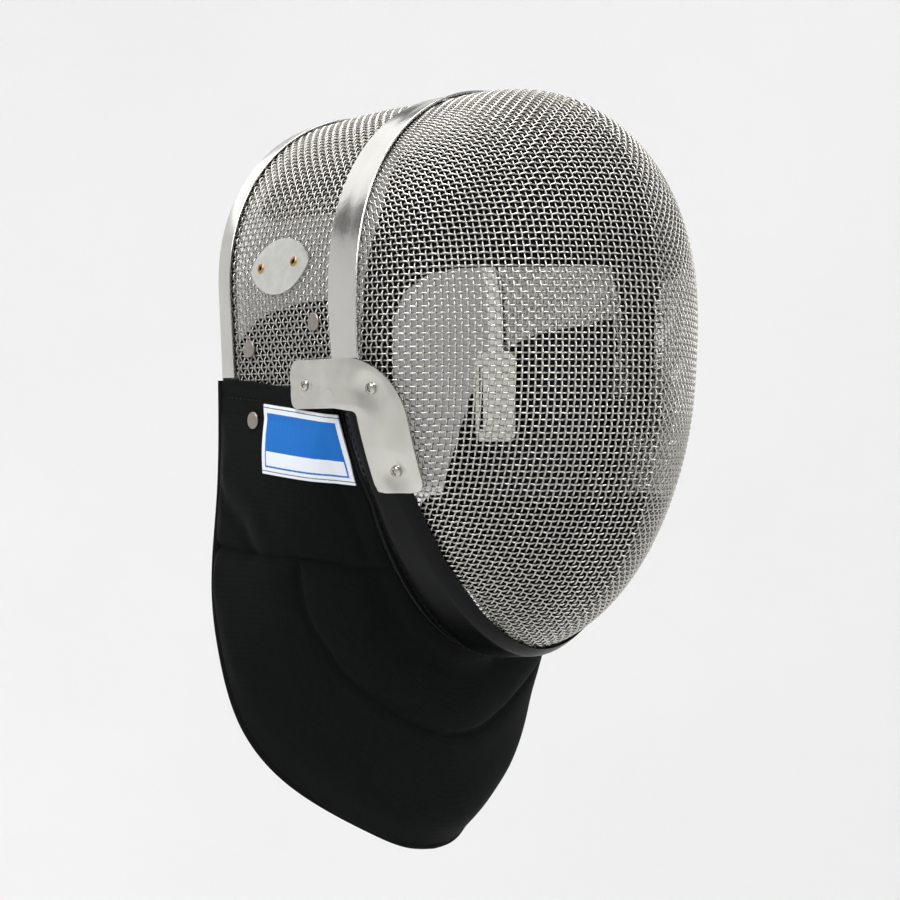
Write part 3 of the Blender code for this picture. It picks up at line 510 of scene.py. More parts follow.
@dataclass(frozen=True)
class Finish:
    """A finish: its name, the record's slot and the numbers of its shader."""

    name: str
    slot: str
    colour: str
    dark: str
    metallic: float = 0.0
    roughness: float = 0.5

    def material(self) -> bpy.types.Material:
        """The finish's material, made on first use."""
        found = bpy.data.materials.get(self.name)
        if found:
            return found
        made = bpy.data.materials.new(self.name)
        made.use_nodes = True
        recipe = Recipe(made.node_tree)
        recipe.shade({"Metallic": self.metallic, "Roughness": self.roughness})
        self.dress(recipe)
        return made

    def dress(self, recipe: Recipe) -> None:
        """Add the finish's own nodes to the shader."""
        raise NotImplementedError

    def tone(self, recipe: Recipe, share: Socket) -> Socket:
        """Colour between the dark and the plain tone by a share from 0 to 1."""
        return recipe.tint(share, self.dark, self.colour)


@dataclass(frozen=True)
class DrawnWire(Finish):
    """Bright drawn stainless wire: clean, a little cloudy from the tumbling of the woven cloth."""

    cloud_mm: float = 7.0

    def dress(self, recipe: Recipe) -> None:
        """Cloudy tone and gloss over a few wires, and fine draw marks."""
        cloud = recipe.noise(1000 / self.cloud_mm, 3.0)
        marks = recipe.noise(3500.0, 1.0)
        recipe.shade({
            "Base Color": self.tone(recipe, cloud),
            "Roughness": recipe.remap(cloud, (0.0, 1.0), (self.roughness + 0.08, self.roughness - 0.06)),
            "Normal": recipe.bump(marks, 0.12, 0.05),
        })


@dataclass(frozen=True)
class RolledSheet(Finish):
    """Cold rolled sheet, deburred by tumbling: satin, with clouds, rolling streaks and small scratches."""

    cloud_mm: float = 18.0
    streak_mm: float = 0.5
    streak_length_mm: float = 14.0

    def dress(self, recipe: Recipe) -> None:
        """Clouds from Object places, streaks along the sheet from its own surface map."""
        cloud = recipe.noise(1000 / self.cloud_mm, 4.0)
        scale = (1000 / self.streak_length_mm, 1000 / self.streak_mm, 1.0)
        stretched = recipe.add("Mapping", {"Vector": recipe.flat, "Scale": scale})
        streak = recipe.noise(1.0, 3.0, stretched)
        speck = recipe.noise(900.0, 2.0)
        both = recipe.blend(0.35, streak, cloud)
        fine = recipe.bump(streak, 0.02, 0.05)
        coarse = recipe.bump(speck, 0.04, 0.08, fine)
        recipe.shade({
            "Base Color": self.tone(recipe, cloud),
            "Roughness": recipe.remap(both, (0.3, 0.7), (self.roughness - 0.04, self.roughness + 0.05)),
            "Normal": recipe.bump(cloud, 0.3, 0.6, coarse),
        })


@dataclass(frozen=True)
class BadgeSheetWithShadedHoles(RolledSheet):
    """Stamped badge sheet: satin steel, with painted shade, a dark round, where its two eyelets open."""

    # radius and colour of the painted shade in each eyelet's hole
    painted_hole_shade_mm: float = 1.35
    painted_hole_shade_colour: str = "#0A0A0A"

    def tone(self, recipe: Recipe, share: Socket) -> Socket:
        """The sheet's colour with painted shade, a dark round, at each hole of the sheet's map."""
        shade = super().tone(recipe, share)
        for back, height in BADGE_HOLES.values():
            away = recipe.add("VectorMath", {0: recipe.flat, 1: (back * MM, height * MM, 0.0)}, "Value",
                              operation="DISTANCE")
            # painted shade: dark colour inside the hole's round
            shade = recipe.tint(recipe.maths("LESS_THAN", away, self.painted_hole_shade_mm * MM), shade, self.painted_hole_shade_colour)
        return shade


@dataclass(frozen=True)
class MouldedRubber(Finish):
    """Extruded rubber strip, wiped clean: a soft gloss with a faint skin texture and a little dust."""

    skin_mm: float = 0.8
    dust_mm: float = 2.2

    def dress(self, recipe: Recipe) -> None:
        """Uneven gloss, a fine skin and scattered pale dust."""
        cloud = recipe.noise(45.0, 4.0)
        dust = recipe.remap(recipe.cells(1000 / self.dust_mm), (0.05, 0.09), (0.35, 0.0))
        skin = recipe.bump(recipe.noise(1000 / self.skin_mm, 3.0), 0.12, 0.1)
        recipe.shade({
            "Base Color": self.tone(recipe, dust),
            "Specular IOR Level": 0.12,
            "Roughness": recipe.remap(cloud, (0.3, 0.7), (self.roughness - 0.06, self.roughness + 0.10)),
            "Normal": recipe.bump(cloud, 0.3, 0.8, skin),
        })


@dataclass(frozen=True)
class WovenCloth(Finish):
    """Dense ribbed weave of spun thread: matt, with cross ribs, a little fuzz and pale lint."""

    thread_mm: float = 0.45  # a rib repeats every 2 pi times this
    lint: float = 0.25
    sheen: float = 0.02

    def dress(self, recipe: Recipe) -> None:
        """Two sets of threads along the cloth's own map, cloudy tone, lint and sheen."""
        rate = 1000 / self.thread_mm / WAVE_RADIANS
        waver = {"Detail": 2.0, "Detail Scale": 3.0}
        ribs = recipe.waves(rate, 0.6, "Y", **waver)
        ends = recipe.waves(rate * 1.4, 0.8, "X", **waver)
        weave = recipe.blend(0.4, ribs, recipe.maths("MULTIPLY", ribs, ends))
        tone = recipe.blend(0.8, weave, recipe.noise(700.0, 6.0, rough=0.6))
        lint = recipe.remap(recipe.cells(210.0), (0.03, 0.06), (self.lint, 0.0))
        threads = recipe.bump(weave, 0.3, 0.25 * self.thread_mm)
        recipe.shade({
            "Base Color": self.tone(recipe, recipe.maths("ADD", tone, lint)),
            "Sheen Weight": self.sheen,
            "Sheen Roughness": 0.5,
            "Specular IOR Level": 0.06,
            "Normal": recipe.bump(recipe.noise(1400.0, 2.0), 0.25, 0.1, threads),
        })


@dataclass(frozen=True)
class PadCloth(Finish):
    """Brushed knit over foam: soft, matt and a little hairy, drawn from Object places."""

    knit_mm: float = 1.4

    def dress(self, recipe: Recipe) -> None:
        """Small knit cells under a cloudy nap."""
        tone = recipe.blend(0.6, recipe.cells(1000 / self.knit_mm, 0.5), recipe.noise(60.0, 6.0))
        recipe.shade({
            "Base Color": self.tone(recipe, tone),
            "Sheen Weight": 0.03,
            "Sheen Roughness": 0.6,
            "Specular IOR Level": 0.12,
            "Normal": recipe.bump(tone, 0.4, 0.3),
        })


@dataclass(frozen=True)
class LabelWeave(Finish):
    """Damask label: white ground with a blue field, a pale strip and a thin blue line, in fine ribs."""

    length_mm: float = 54.0
    height_mm: float = 34.0
    rib_mm: float = 0.55  # a rib repeats every 2 pi times this
    thread: str = "#55565C"

    def dress(self, recipe: Recipe) -> None:
        """A field, a line with short ends and two sewn lines worked out from the label's own map."""

        def band(value: Socket, low: float, high: float) -> Socket:
            """1 where the value lies between two places in millimetres, else 0."""
            above = recipe.maths("GREATER_THAN", value, low * MM)
            return recipe.maths("MULTIPLY", above, recipe.maths("LESS_THAN", value, high * MM))

        shift = recipe.remap(recipe.noise(1800.0, 1.0, recipe.flat), (0.0, 1.0), (-0.25 * MM, 0.25 * MM))
        split = recipe.add("SeparateXYZ", {0: recipe.flat}).node.outputs
        along = recipe.maths("ADD", split[0], shift)
        down = recipe.maths("ADD", split[1], shift)
        length, height = self.length_mm, self.height_mm
        field = band(down, 4.0, 0.67 * height)
        line = band(down, 0.875 * height, 0.90 * height)
        ends = recipe.maths("MAXIMUM", band(along, 2.6, 3.4), band(along, length - 3.0, length - 2.2))
        sides = recipe.maths("MULTIPLY", ends, band(down, 0.66 * height, 0.90 * height))
        blue = recipe.maths("MAXIMUM", recipe.maths("MAXIMUM", field, line), sides)
        shown = recipe.maths("MULTIPLY", blue, band(along, 2.6, length - 2.2))
        sewn = recipe.maths("MAXIMUM", band(down, 1.3, 1.75), band(down, height - 1.75, height - 1.3))
        ribs = recipe.waves(1000 / self.rib_mm / WAVE_RADIANS, 0.4, "X")
        recipe.shade({
            "Base Color": recipe.tint(sewn, self.tone(recipe, shown), self.thread),
            "Specular IOR Level": 0.35,
            "Normal": recipe.bump(ribs, 0.4, 0.12),
        })


WIRE = DrawnWire("stainless_wire_drawn", "steel_wire", "#CDCBC5", "#A6A49E", 1.0, 0.27)
BAND = RolledSheet("stainless_sheet_rolled", "sheet_steel", "#D4D3CF", "#BEBDB8", 1.0, 0.19)
PRESSED = RolledSheet("stainless_sheet_pressed", "sheet_steel", "#D2D1CB", "#B2B1AA", 1.0, 0.23, 14.0)
FASTENER = RolledSheet("nickelled_steel_turned", "sheet_steel", "#D0CFC8", "#9C9A93", 1.0, 0.22, 3.0)
RIVET = RolledSheet("steel_rivet_worn", "sheet_steel", "#A8A29A", "#857F78", 1.0, 0.42, 3.0)
# the badge finish paints shade into its two eyelet holes
BADGE = BadgeSheetWithShadedHoles("steel_badge_stamped", "sheet_steel", "#E2E2DE", "#C4C4C0", 1.0, 0.42, 4.0)
BRASS = RolledSheet("brass_stamped", "brass", "#C9A562", "#8E6C33", 1.0, 0.28, 2.5)
RUBBER = MouldedRubber("black_rubber_extruded", "black_rubber", "#08090A", "#020303", 0.0, 0.34)
TWILL = WovenCloth("black_ribbed_twill", "black_cloth", "#121413", "#050606", 0.0, 0.9)
TAPE = WovenCloth("black_binding_tape", "black_cloth", "#111312", "#060706", 0.0, 0.85, 0.8)
THREAD = PadCloth("black_sewing_thread", "black_cloth", "#0D0D0E", "#060607", 0.0, 0.6, 0.4)
PADDING = PadCloth("black_brushed_knit", "black_cloth", "#0D0D0E", "#050506", 0.0, 0.95)
NAVY = PadCloth("navy_quilted_cotton", "navy_cloth", "#0A0C14", "#05060A", 0.0, 0.9, 1.0)
WEAVE = LabelWeave("damask_label", "woven_label", "#0A66B8", "#DDE1E8", 0.0, 0.75)


# ---------------------------------------------------------------- forms of the mask


@dataclass(frozen=True)
class Bowl:
    """Bowl of the face: a fan of arches that all end at the two ends of the cheek line.

    An arch leans forward by its angle: 0 is straight up, 90 points ahead and 180 hangs straight down.
    With t the share of the half width, its reach is reach * (1 - ridge t - (1 - ridge) t^w)^(1/r).
    """

    half_width: float = 98.4
    front_angle: float = -8.0
    chin_angle: float = 171.0
    arches: tuple = (
        # angle, reach, ridge, width power w, reach power r
        (-8, 142.5, 0.02, 1.86, 2.65),
        (12, 143.0, 0.07, 1.82, 2.45),
        (34, 139.0, 0.16, 1.76, 2.24),
        (58, 121.5, 0.24, 1.72, 2.05),
        (82, 109.8, 0.30, 1.70, 1.85),
        (106, 110.4, 0.27, 1.72, 1.68),
        (128, 117.8, 0.18, 1.76, 1.50),
        (148, 127.0, 0.07, 1.84, 1.38),
        (168, 135.0, 0.00, 1.95, 1.28),
        (190, 139.0, 0.00, 2.00, 1.22),
    )

    def row(self, angle: Array) -> Array:
        """Reach, ridge and the two powers of the arch at an angle, by a spline through the table."""
        table = np.array(self.arches)
        return np.moveaxis(spline(table[:, 0], table[:, 1:], angle), -1, 0)

    def point(self, angle: Array, across: Array) -> Array:
        """Point at an angle in degrees and a share of the half width from -1 to 1."""
        angle, across = np.broadcast_arrays(np.asarray(angle, float), np.asarray(across, float))
        reach, ridge, wide, high = self.row(angle)
        share = np.abs(across)
        left = np.clip(1 - ridge * share - (1 - ridge) * share ** wide, 0, None)
        radius = reach * left ** (1 / high)
        lean = np.radians(angle)
        return np.stack([across * self.half_width, -radius * np.sin(lean), radius * np.cos(lean)], -1)

    def angle_of(self, points: Array) -> Array:
        """Angle of the arch on which points lie, in degrees."""
        angle = np.degrees(np.arctan2(-points[..., 1], points[..., 2]))
        return np.where(angle < -100, angle + 360, angle)

    def level(self, points: Array) -> Array:
        """How far points lie outside the bowl: (radius / reach)^r + ridge t + (1 - ridge) t^w - 1."""
        angle = np.clip(self.angle_of(points), -40, 200)
        reach, ridge, wide, high = self.row(angle)
        share = np.clip(np.abs(points[..., 0]) / self.half_width, 1e-6, None)
        radius = np.hypot(points[..., 1], points[..., 2])
        return (radius / reach) ** high + ridge * share + (1 - ridge) * share ** wide - 1

    def slope(self, points: Array) -> Array:
        """Slope of the level at points, from its difference over 0.02 mm each way along each axis."""
        steps = np.eye(3) * 0.02
        return np.stack([(self.level(points + s) - self.level(points - s)) / 0.04 for s in steps], -1)

    def half_width_at(self, back: Array, height: Array) -> Array:
        """Half width where a cross line at a back and a height meets the bowl, by halving 40 times."""
        back, height = np.broadcast_arrays(np.asarray(back, float), np.asarray(height, float))
        angle = np.degrees(np.arctan2(-back, height))
        reach, ridge, wide, high = self.row(np.where(angle < -90, angle + 360, angle))
        goal = np.clip(np.hypot(back, height) / reach, 0, 1) ** high
        low = np.zeros_like(goal)
        top = np.ones_like(goal)
        for _ in range(40):
            middle = (low + top) / 2
            above = 1 - ridge * middle - (1 - ridge) * middle ** wide > goal
            low = np.where(above, middle, low)
            top = np.where(above, top, middle)
        return self.half_width * low


@dataclass(frozen=True)
class Panel:
    """Side and top panel between the arch of the front band and the arch of the rear band."""

    bowl: Bowl = Bowl()
    rear_half_width: float = 93.4
    rear_back: float = 99.0
    rear_lean: float = 0.074
    spring_height: float = 45.0
    crown_height: float = 137.5
    width_power: float = 1.90
    height_power: float = 2.04
    foot: float = -7.0
    swell: float = 1.5

    def front_arch(self, foot: float, count: int) -> Array:
        """Front arch of the bowl with straight legs, at equal distances."""
        arch = self.bowl.point(self.bowl.front_angle, np.sin(np.linspace(-0.5, 0.5, 241) * math.pi))
        leg = np.array([[self.bowl.half_width, 0.0, foot]])
        return spaced(np.concatenate([mirrored(leg), arch, leg]), count)

    def rear_arch(self, foot: float, count: int) -> Array:
        """Rear arch: half width times cos^(2/w), height times sin^(2/h), leaning back with height."""
        turn = np.linspace(0, math.pi, 241)
        width = np.abs(np.cos(turn)) ** (2 / self.width_power) * -np.sign(np.cos(turn))
        rise = np.abs(np.sin(turn)) ** (2 / self.height_power)
        height = self.spring_height + (self.crown_height - self.spring_height) * rise
        back = self.rear_back + self.rear_lean * height
        arch = np.stack([self.rear_half_width * width, back, height], -1)
        leg = np.array([[self.rear_half_width, self.rear_back + self.rear_lean * foot, foot]])
        return spaced(np.concatenate([mirrored(leg), arch, leg]), count)

    def grid(self, shares: Array, count: int, foot: Optional[float] = None) -> Array:
        """Rows from the front arch to the rear arch on straight lines, swelled out between them."""
        foot = self.foot if foot is None else foot
        front = self.front_arch(foot, count)
        rear = self.rear_arch(foot, count)
        share = np.asarray(shares, float)[:, None, None]
        flat = front + (rear - front) * share
        out = unit((flat - np.array([0.0, 0.0, 20.0])) * np.array([1.0, 0.0, 1.0]))
        rise = self.swell * np.clip(flat[..., 2:] / self.spring_height, 0, 1)
        return flat + out * rise * 4 * share * (1 - share)


@dataclass(frozen=True)
class Cheek:
    """Cheek surface: the bowl ahead of the cheek line and an upright panel behind it."""

    bowl: Bowl = Bowl()
    taper: float = 0.05
    blend: float = 12.0
    upright_below: float = -4.0

    def half_width(self, back: Array, height: Array) -> Array:
        """Half width at a back and a height, blended from bowl to panel over the cheek line."""
        back, height = np.broadcast_arrays(np.asarray(back, float), np.asarray(height, float))
        bowl = self.bowl.half_width_at(np.minimum(back, 0), height)
        panel = self.bowl.half_width_at(0 * back, np.maximum(height, self.upright_below))
        panel = panel - self.taper * np.maximum(back, 0)
        return bowl + (panel - bowl) * np.clip((back + self.blend / 2) / self.blend, 0, 1)

    def point(self, side: int, back: Array, height: Array, lift: Array) -> Array:
        """Point over the cheek at a lift along its normal."""
        back, height = np.broadcast_arrays(np.asarray(back, float), np.asarray(height, float))
        lift = np.broadcast_to(np.asarray(lift, float), back.shape)
        run = self.half_width(back + 0.5, height) - self.half_width(back - 0.5, height)
        rise = self.half_width(back, height + 0.5) - self.half_width(back, height - 0.5)
        normal = unit(np.stack([np.ones_like(back), -run, -rise], -1))
        point = np.stack([self.half_width(back, height), back, height], -1)
        return (point + normal * lift[..., None]) * np.array([side, 1.0, 1.0])


@dataclass(frozen=True)
class Border:
    """Line on the bowl where the rubber edging starts, from cheek round the chin to cheek."""

    bowl: Bowl = Bowl()
    back: float = -17.5
    slope: float = 0.103
    start_radius: float = 21.0
    flat: float = 8.0
    shapes: tuple = (
        # depth below the cheek line, inward lean and widening of what lies past the flat part
        (5.0, 0.24, 0.0),
        (20.0, 0.18, 0.0),
        (45.0, 0.10, 0.0),
        (60.0, 0.10, 0.0),
        (70.0, 0.10, 0.10),
        (92.0, 0.19, 0.33),
        (120.0, 0.31, 0.60),
    )

    def frames(self, count: int) -> tuple[Array, Array, Array]:
        """Points of the line, outward normals and directions that run back along the bowl."""
        across = np.sin(np.linspace(-0.5, 0.5, 401) * math.pi) * 0.985
        angle = np.full_like(across, 170.0)
        tilt = math.atan(self.slope)
        for _ in range(5):
            radius = np.hypot(*self.bowl.point(angle, across)[:, 1:].T)
            near = np.clip(-self.back * math.cos(tilt) / np.maximum(radius, 1), -1, 1)
            angle = 180 - math.degrees(tilt) - np.degrees(np.arcsin(near))
        line = self.bowl.point(angle, across)
        keep = np.hypot(line[:, 1], line[:, 2]) > self.start_radius
        path = spaced(line[keep], count)
        across = path[:, 0] / self.bowl.half_width
        angle = np.degrees(np.arctan2(-path[:, 1], path[:, 2]))
        tall = self.bowl.point(angle + 0.5, across) - self.bowl.point(angle - 0.5, across)
        wide = self.bowl.point(angle, across + 1e-3) - self.bowl.point(angle, across - 1e-3)
        out = unit(np.cross(tall, wide))
        return path, out, unit(np.array([0.0, 1.0, 0.0]) - out * out[:, 1:2])

    def line(self, count: int, width: float, lift: float) -> Array:
        """Line at a width behind the border and a lift over the wire, leaning in past the flat part."""
        path, out, back = self.frames(count)
        depth, leans, widenings = np.array(self.shapes).T
        lean = np.interp(-path[:, 2:], depth, leans)
        past = max(width - self.flat, 0.0) * (1 + np.interp(-path[:, 2:], depth, widenings))
        return path + back * (min(width, self.flat) + past) + out * (lift - lean * past)


@dataclass(frozen=True)
class Patch:
    """A surface given by a fine grid of points and normals, read at a back and a height."""

    points: Array
    normals: Array

    def at(self, back: Array, height: Array, lift: float = 0.0) -> tuple[Array, Array]:
        """Points and normals where cross lines meet the surface.

        Args:
            back: Backs of the places.
            height: Heights of the places.
            lift: Distance over the surface.

        Returns:
            The lifted points and the normals, from the nearest grid point and its tangent plane, whose
            slope is kept under 1.
        """
        back, height = np.broadcast_arrays(np.asarray(back, float), np.asarray(height, float))
        flat = self.points.reshape(-1, 3)
        away = (flat[None, :, 1] - back.reshape(-1, 1)) ** 2 + (flat[None, :, 2] - height.reshape(-1, 1)) ** 2
        near = np.argmin(away, axis=1)
        point = flat[near]
        normal = self.normals.reshape(-1, 3)[near]
        side = np.sign(normal[:, 0]) * np.maximum(np.abs(normal[:, 0]), 0.1)
        slopes = np.clip(normal[:, 1:] / side[:, None], -1, 1)
        across = point[:, 0] - (back.ravel() - point[:, 1]) * slopes[:, 0]
        across = across - (height.ravel() - point[:, 2]) * slopes[:, 1]
        found = np.stack([across, back.ravel(), height.ravel()], -1) + normal * lift
        return found.reshape(*back.shape, 3), normal.reshape(*back.shape, 3)


# ---------------------------------------------------------------- wire cloth


@dataclass(frozen=True)
class WireCloth:
    """Plain weave of round wire: each wire goes over one crossing wire and under the next."""

    pitch: float = 3.1
    radius: float = 0.5
    sides: int = 5
    crimp: float = 0.46

    def wires(self, nodes: Array, normals: Array, over: Array) -> Form:
        """Round wires through rows of crossings.

        A wire has two rings a crossing, a quarter pitch before and after it, both raised or sunk
        by the crimp, so it runs flat over the crossing and straight to the next.

        Args:
            nodes: Crossings, one row a wire; not a number where the cloth has none.
            normals: Outward normals at the crossings.
            over: 1 where the wire goes over, -1 where it goes under.

        Returns:
            The points and the faces of all wires.
        """
        step = np.full_like(nodes, np.nan)
        step[:, :-1] = nodes[:, 1:] - nodes[:, :-1]
        before = np.full_like(nodes, np.nan)
        before[:, 1:] = step[:, :-1]
        ahead = np.where(np.isnan(step), before, step)
        behind = np.where(np.isnan(before), step, before)
        centre = nodes + normals * (over * self.crimp)[..., None]
        rings = np.stack([centre - behind * 0.25, centre + ahead * 0.25], 2)
        wires, crossings = nodes.shape[:2]
        rings = rings.reshape(wires, crossings * 2, 1, 3)
        out = np.repeat(normals, 2, axis=1)[:, :, None]
        along = unit(np.repeat(ahead + behind, 2, axis=1))[:, :, None]
        side = unit(np.cross(along, out))
        turn = (np.arange(self.sides) + 0.5) / self.sides * 2 * math.pi
        turn = turn[None, None, :, None]
        points = rings + (out * np.cos(turn) + side * np.sin(turn)) * self.radius
        valid = np.isfinite(points).all(axis=(2, 3))
        index = np.cumsum(valid.ravel()).reshape(valid.shape) - 1
        first = index[:, :-1][valid[:, :-1] & valid[:, 1:]]
        corner = np.arange(self.sides)
        beside = (corner + 1) % self.sides
        low = first[:, None] * self.sides
        high = low + self.sides
        quads = np.stack([low + corner, low + beside, high + beside, high + corner], -1)
        gap = np.zeros((wires, 1), bool)
        starts = index[valid & ~np.hstack([gap, valid[:, :-1]])]
        ends = index[valid & ~np.hstack([valid[:, 1:], gap])]
        caps = [starts[:, None] * self.sides + corner[::-1], ends[:, None] * self.sides + corner]
        return points[valid].reshape(-1, 3), [quads.reshape(-1, 4), *caps]

    def over(self, nodes: Array) -> Array:
        """1 and -1 in turn, as on a chequered board: where the uprights go over and under."""
        rows, columns = nodes.shape[:2]
        return np.where((np.arange(rows)[:, None] + np.arange(columns)[None]) % 2, 1.0, -1.0)

    def uprights(
        self, name: str, node: str, nodes: Array, normals: Array, cut: slice = slice(None)
    ) -> bpy.types.Object:
        """Piece of the wires that run along the columns of the cut."""
        nets = [grid[:, cut].transpose(1, 0, 2) for grid in (nodes, normals)]
        over = self.over(nodes)[:, cut].T
        return new_piece(name, *self.wires(*nets, over), WIRE, sharp=75, replaces=[node])

    def rows(
        self, name: str, node: str, nodes: Array, normals: Array, cut: slice = slice(None)
    ) -> bpy.types.Object:
        """Piece of the wires that run along the rows of the cut."""
        nets = nodes[cut], normals[cut], -self.over(nodes)[cut]
        return new_piece(name, *self.wires(*nets), WIRE, sharp=75, replaces=[node])


@dataclass(frozen=True)
class FaceMesh:
    """Wire cloth pressed into the bowl: a net whose threads keep their pitch and shear at the crossings."""

    bowl: Bowl = Bowl()
    cloth: WireCloth = WireCloth()
    start_angle: float = 90.0
    up: int = 75
    down: int = 70
    across: int = 70
    level_weight: float = 200.0
    shortest_diagonal: float = 1.2
    widest_miss: float = 0.05

    def thread(self, angles: Array, across: Array, steps: Array, start: float) -> Array:
        """Crossings at equal steps along a line on the bowl; not a number past its ends.

        Args:
            angles: Angles of a fine line.
            across: Shares of the half width along it.
            steps: Numbers of pitches from the start.
            start: Distance along the line of pitch zero.

        Returns:
            One point a step.
        """
        line = self.bowl.point(angles, across)
        run = run_of(line)
        at = start + steps * self.cloth.pitch
        points = read_at(at, run, line)
        points[(at < 0) | (at > run[-1])] = np.nan
        return points

    def quarter(self, crest: Array, belt: Array) -> Array:
        """Net between the crest and the belt, found along its diagonals.

        Each crossing is one pitch from the two before it and lies on the bowl, which three steps of
        Newton's method a few times over settle for a whole diagonal at once.
        """
        rows, columns = len(crest), len(belt)
        net = np.full((rows, columns, 3), np.nan)
        net[:, 0] = crest
        net[0] = belt
        pitch = self.cloth.pitch
        for total in range(2, rows + columns - 1):
            i = np.arange(max(1, total - columns + 1), min(rows - 1, total - 1) + 1)
            j = total - i
            corners = np.isfinite(net[i - 1, j] + net[i, j - 1] + net[i - 1, j - 1]).all(-1)
            i, j = i[corners], j[corners]
            if not len(i):
                continue
            above, beside, before = net[i - 1, j], net[i, j - 1], net[i - 1, j - 1]
            point = above + beside - before
            for _ in range(8):
                miss = np.stack([
                    ((point - above) ** 2).sum(-1) - pitch ** 2,
                    ((point - beside) ** 2).sum(-1) - pitch ** 2,
                    self.bowl.level(point) * self.level_weight,
                ], -1)
                down = self.bowl.slope(point) * self.level_weight
                slope = np.stack([2 * (point - above), 2 * (point - beside), down], -2)
                move = np.linalg.solve(slope + 1e-6 * np.eye(3), -miss[..., None])[..., 0]
                length = np.linalg.norm(move, axis=-1, keepdims=True)
                point = point + move * np.minimum(1, 1 / np.maximum(length, 1e-9))
            open_enough = np.linalg.norm(point - before, axis=-1) > self.shortest_diagonal
            point[(np.abs(miss).max(-1) > self.widest_miss) | ~open_enough] = np.nan
            net[i, j] = point
        return net

    def net(self) -> Array:
        """Crossings of both halves: rows go down from the crest's top, columns from right to left."""
        angles = np.linspace(-30, 190, 2201)
        crest_run = run_of(self.bowl.point(angles, 0 * angles))
        start = float(np.interp(self.start_angle, angles, crest_run))
        crest = self.thread(angles, 0 * angles, np.arange(-self.up, self.down + 1), start)
        shares = np.linspace(0, 1, 4001)
        belt = self.thread(self.start_angle + 0 * shares, shares, np.arange(self.across + 1), 0.0)
        upper = self.quarter(crest[self.up::-1], belt)
        lower = self.quarter(crest[self.up:], belt)
        half = np.concatenate([upper[::-1], lower[1:]])
        angle = self.bowl.angle_of(np.nan_to_num(half, nan=1.0))
        half[(angle < self.bowl.front_angle) | (angle > self.bowl.chin_angle)] = np.nan
        return np.concatenate([mirrored(half[:, :0:-1]), half], axis=1)

    def build(self) -> list[bpy.types.Object]:
        """Weave the uprights and the rows, each set in two pieces."""
        nodes = self.net()
        normals = unit(self.bowl.slope(np.nan_to_num(nodes, nan=1.0)))
        middle = nodes.shape[1] // 2 + 1
        cuts = {"right": slice(0, middle), "left": slice(middle, None)}
        made = [self.cloth.uprights(f"face_wire_upright_{name}", "face_mesh", nodes, normals, cut)
                for name, cut in cuts.items()]
        cuts = {"upper": slice(0, self.up), "lower": slice(self.up, None)}
        return made + [self.cloth.rows(f"face_wire_row_{name}", "face_mesh", nodes, normals, cut)
                       for name, cut in cuts.items()]


@dataclass(frozen=True)
class CrownMesh:
    """Wire cloth of the side and top panel: uprights along the arches and rows across them."""

    panel: Panel = Panel()
    cloth: WireCloth = WireCloth()
    start: float = 0.015
    end: float = 0.99
    arches: int = 33

    def build(self) -> list[bpy.types.Object]:
        """Weave the uprights and the rows."""
        length = run_of(self.panel.front_arch(self.panel.foot, 400))[-1]
        count = int(length / self.cloth.pitch) + 1
        nodes = self.panel.grid(np.linspace(self.start, self.end, self.arches), count)
        normals = grid_normals(nodes, (0, 50, 40))
        nodes, normals = nodes.transpose(1, 0, 2), normals.transpose(1, 0, 2)
        return [self.cloth.uprights("crown_wire_upright", "crown_mesh", nodes, normals),
                self.cloth.rows("crown_wire_row", "crown_mesh", nodes, normals)]


# ---------------------------------------------------------------- bands and brackets


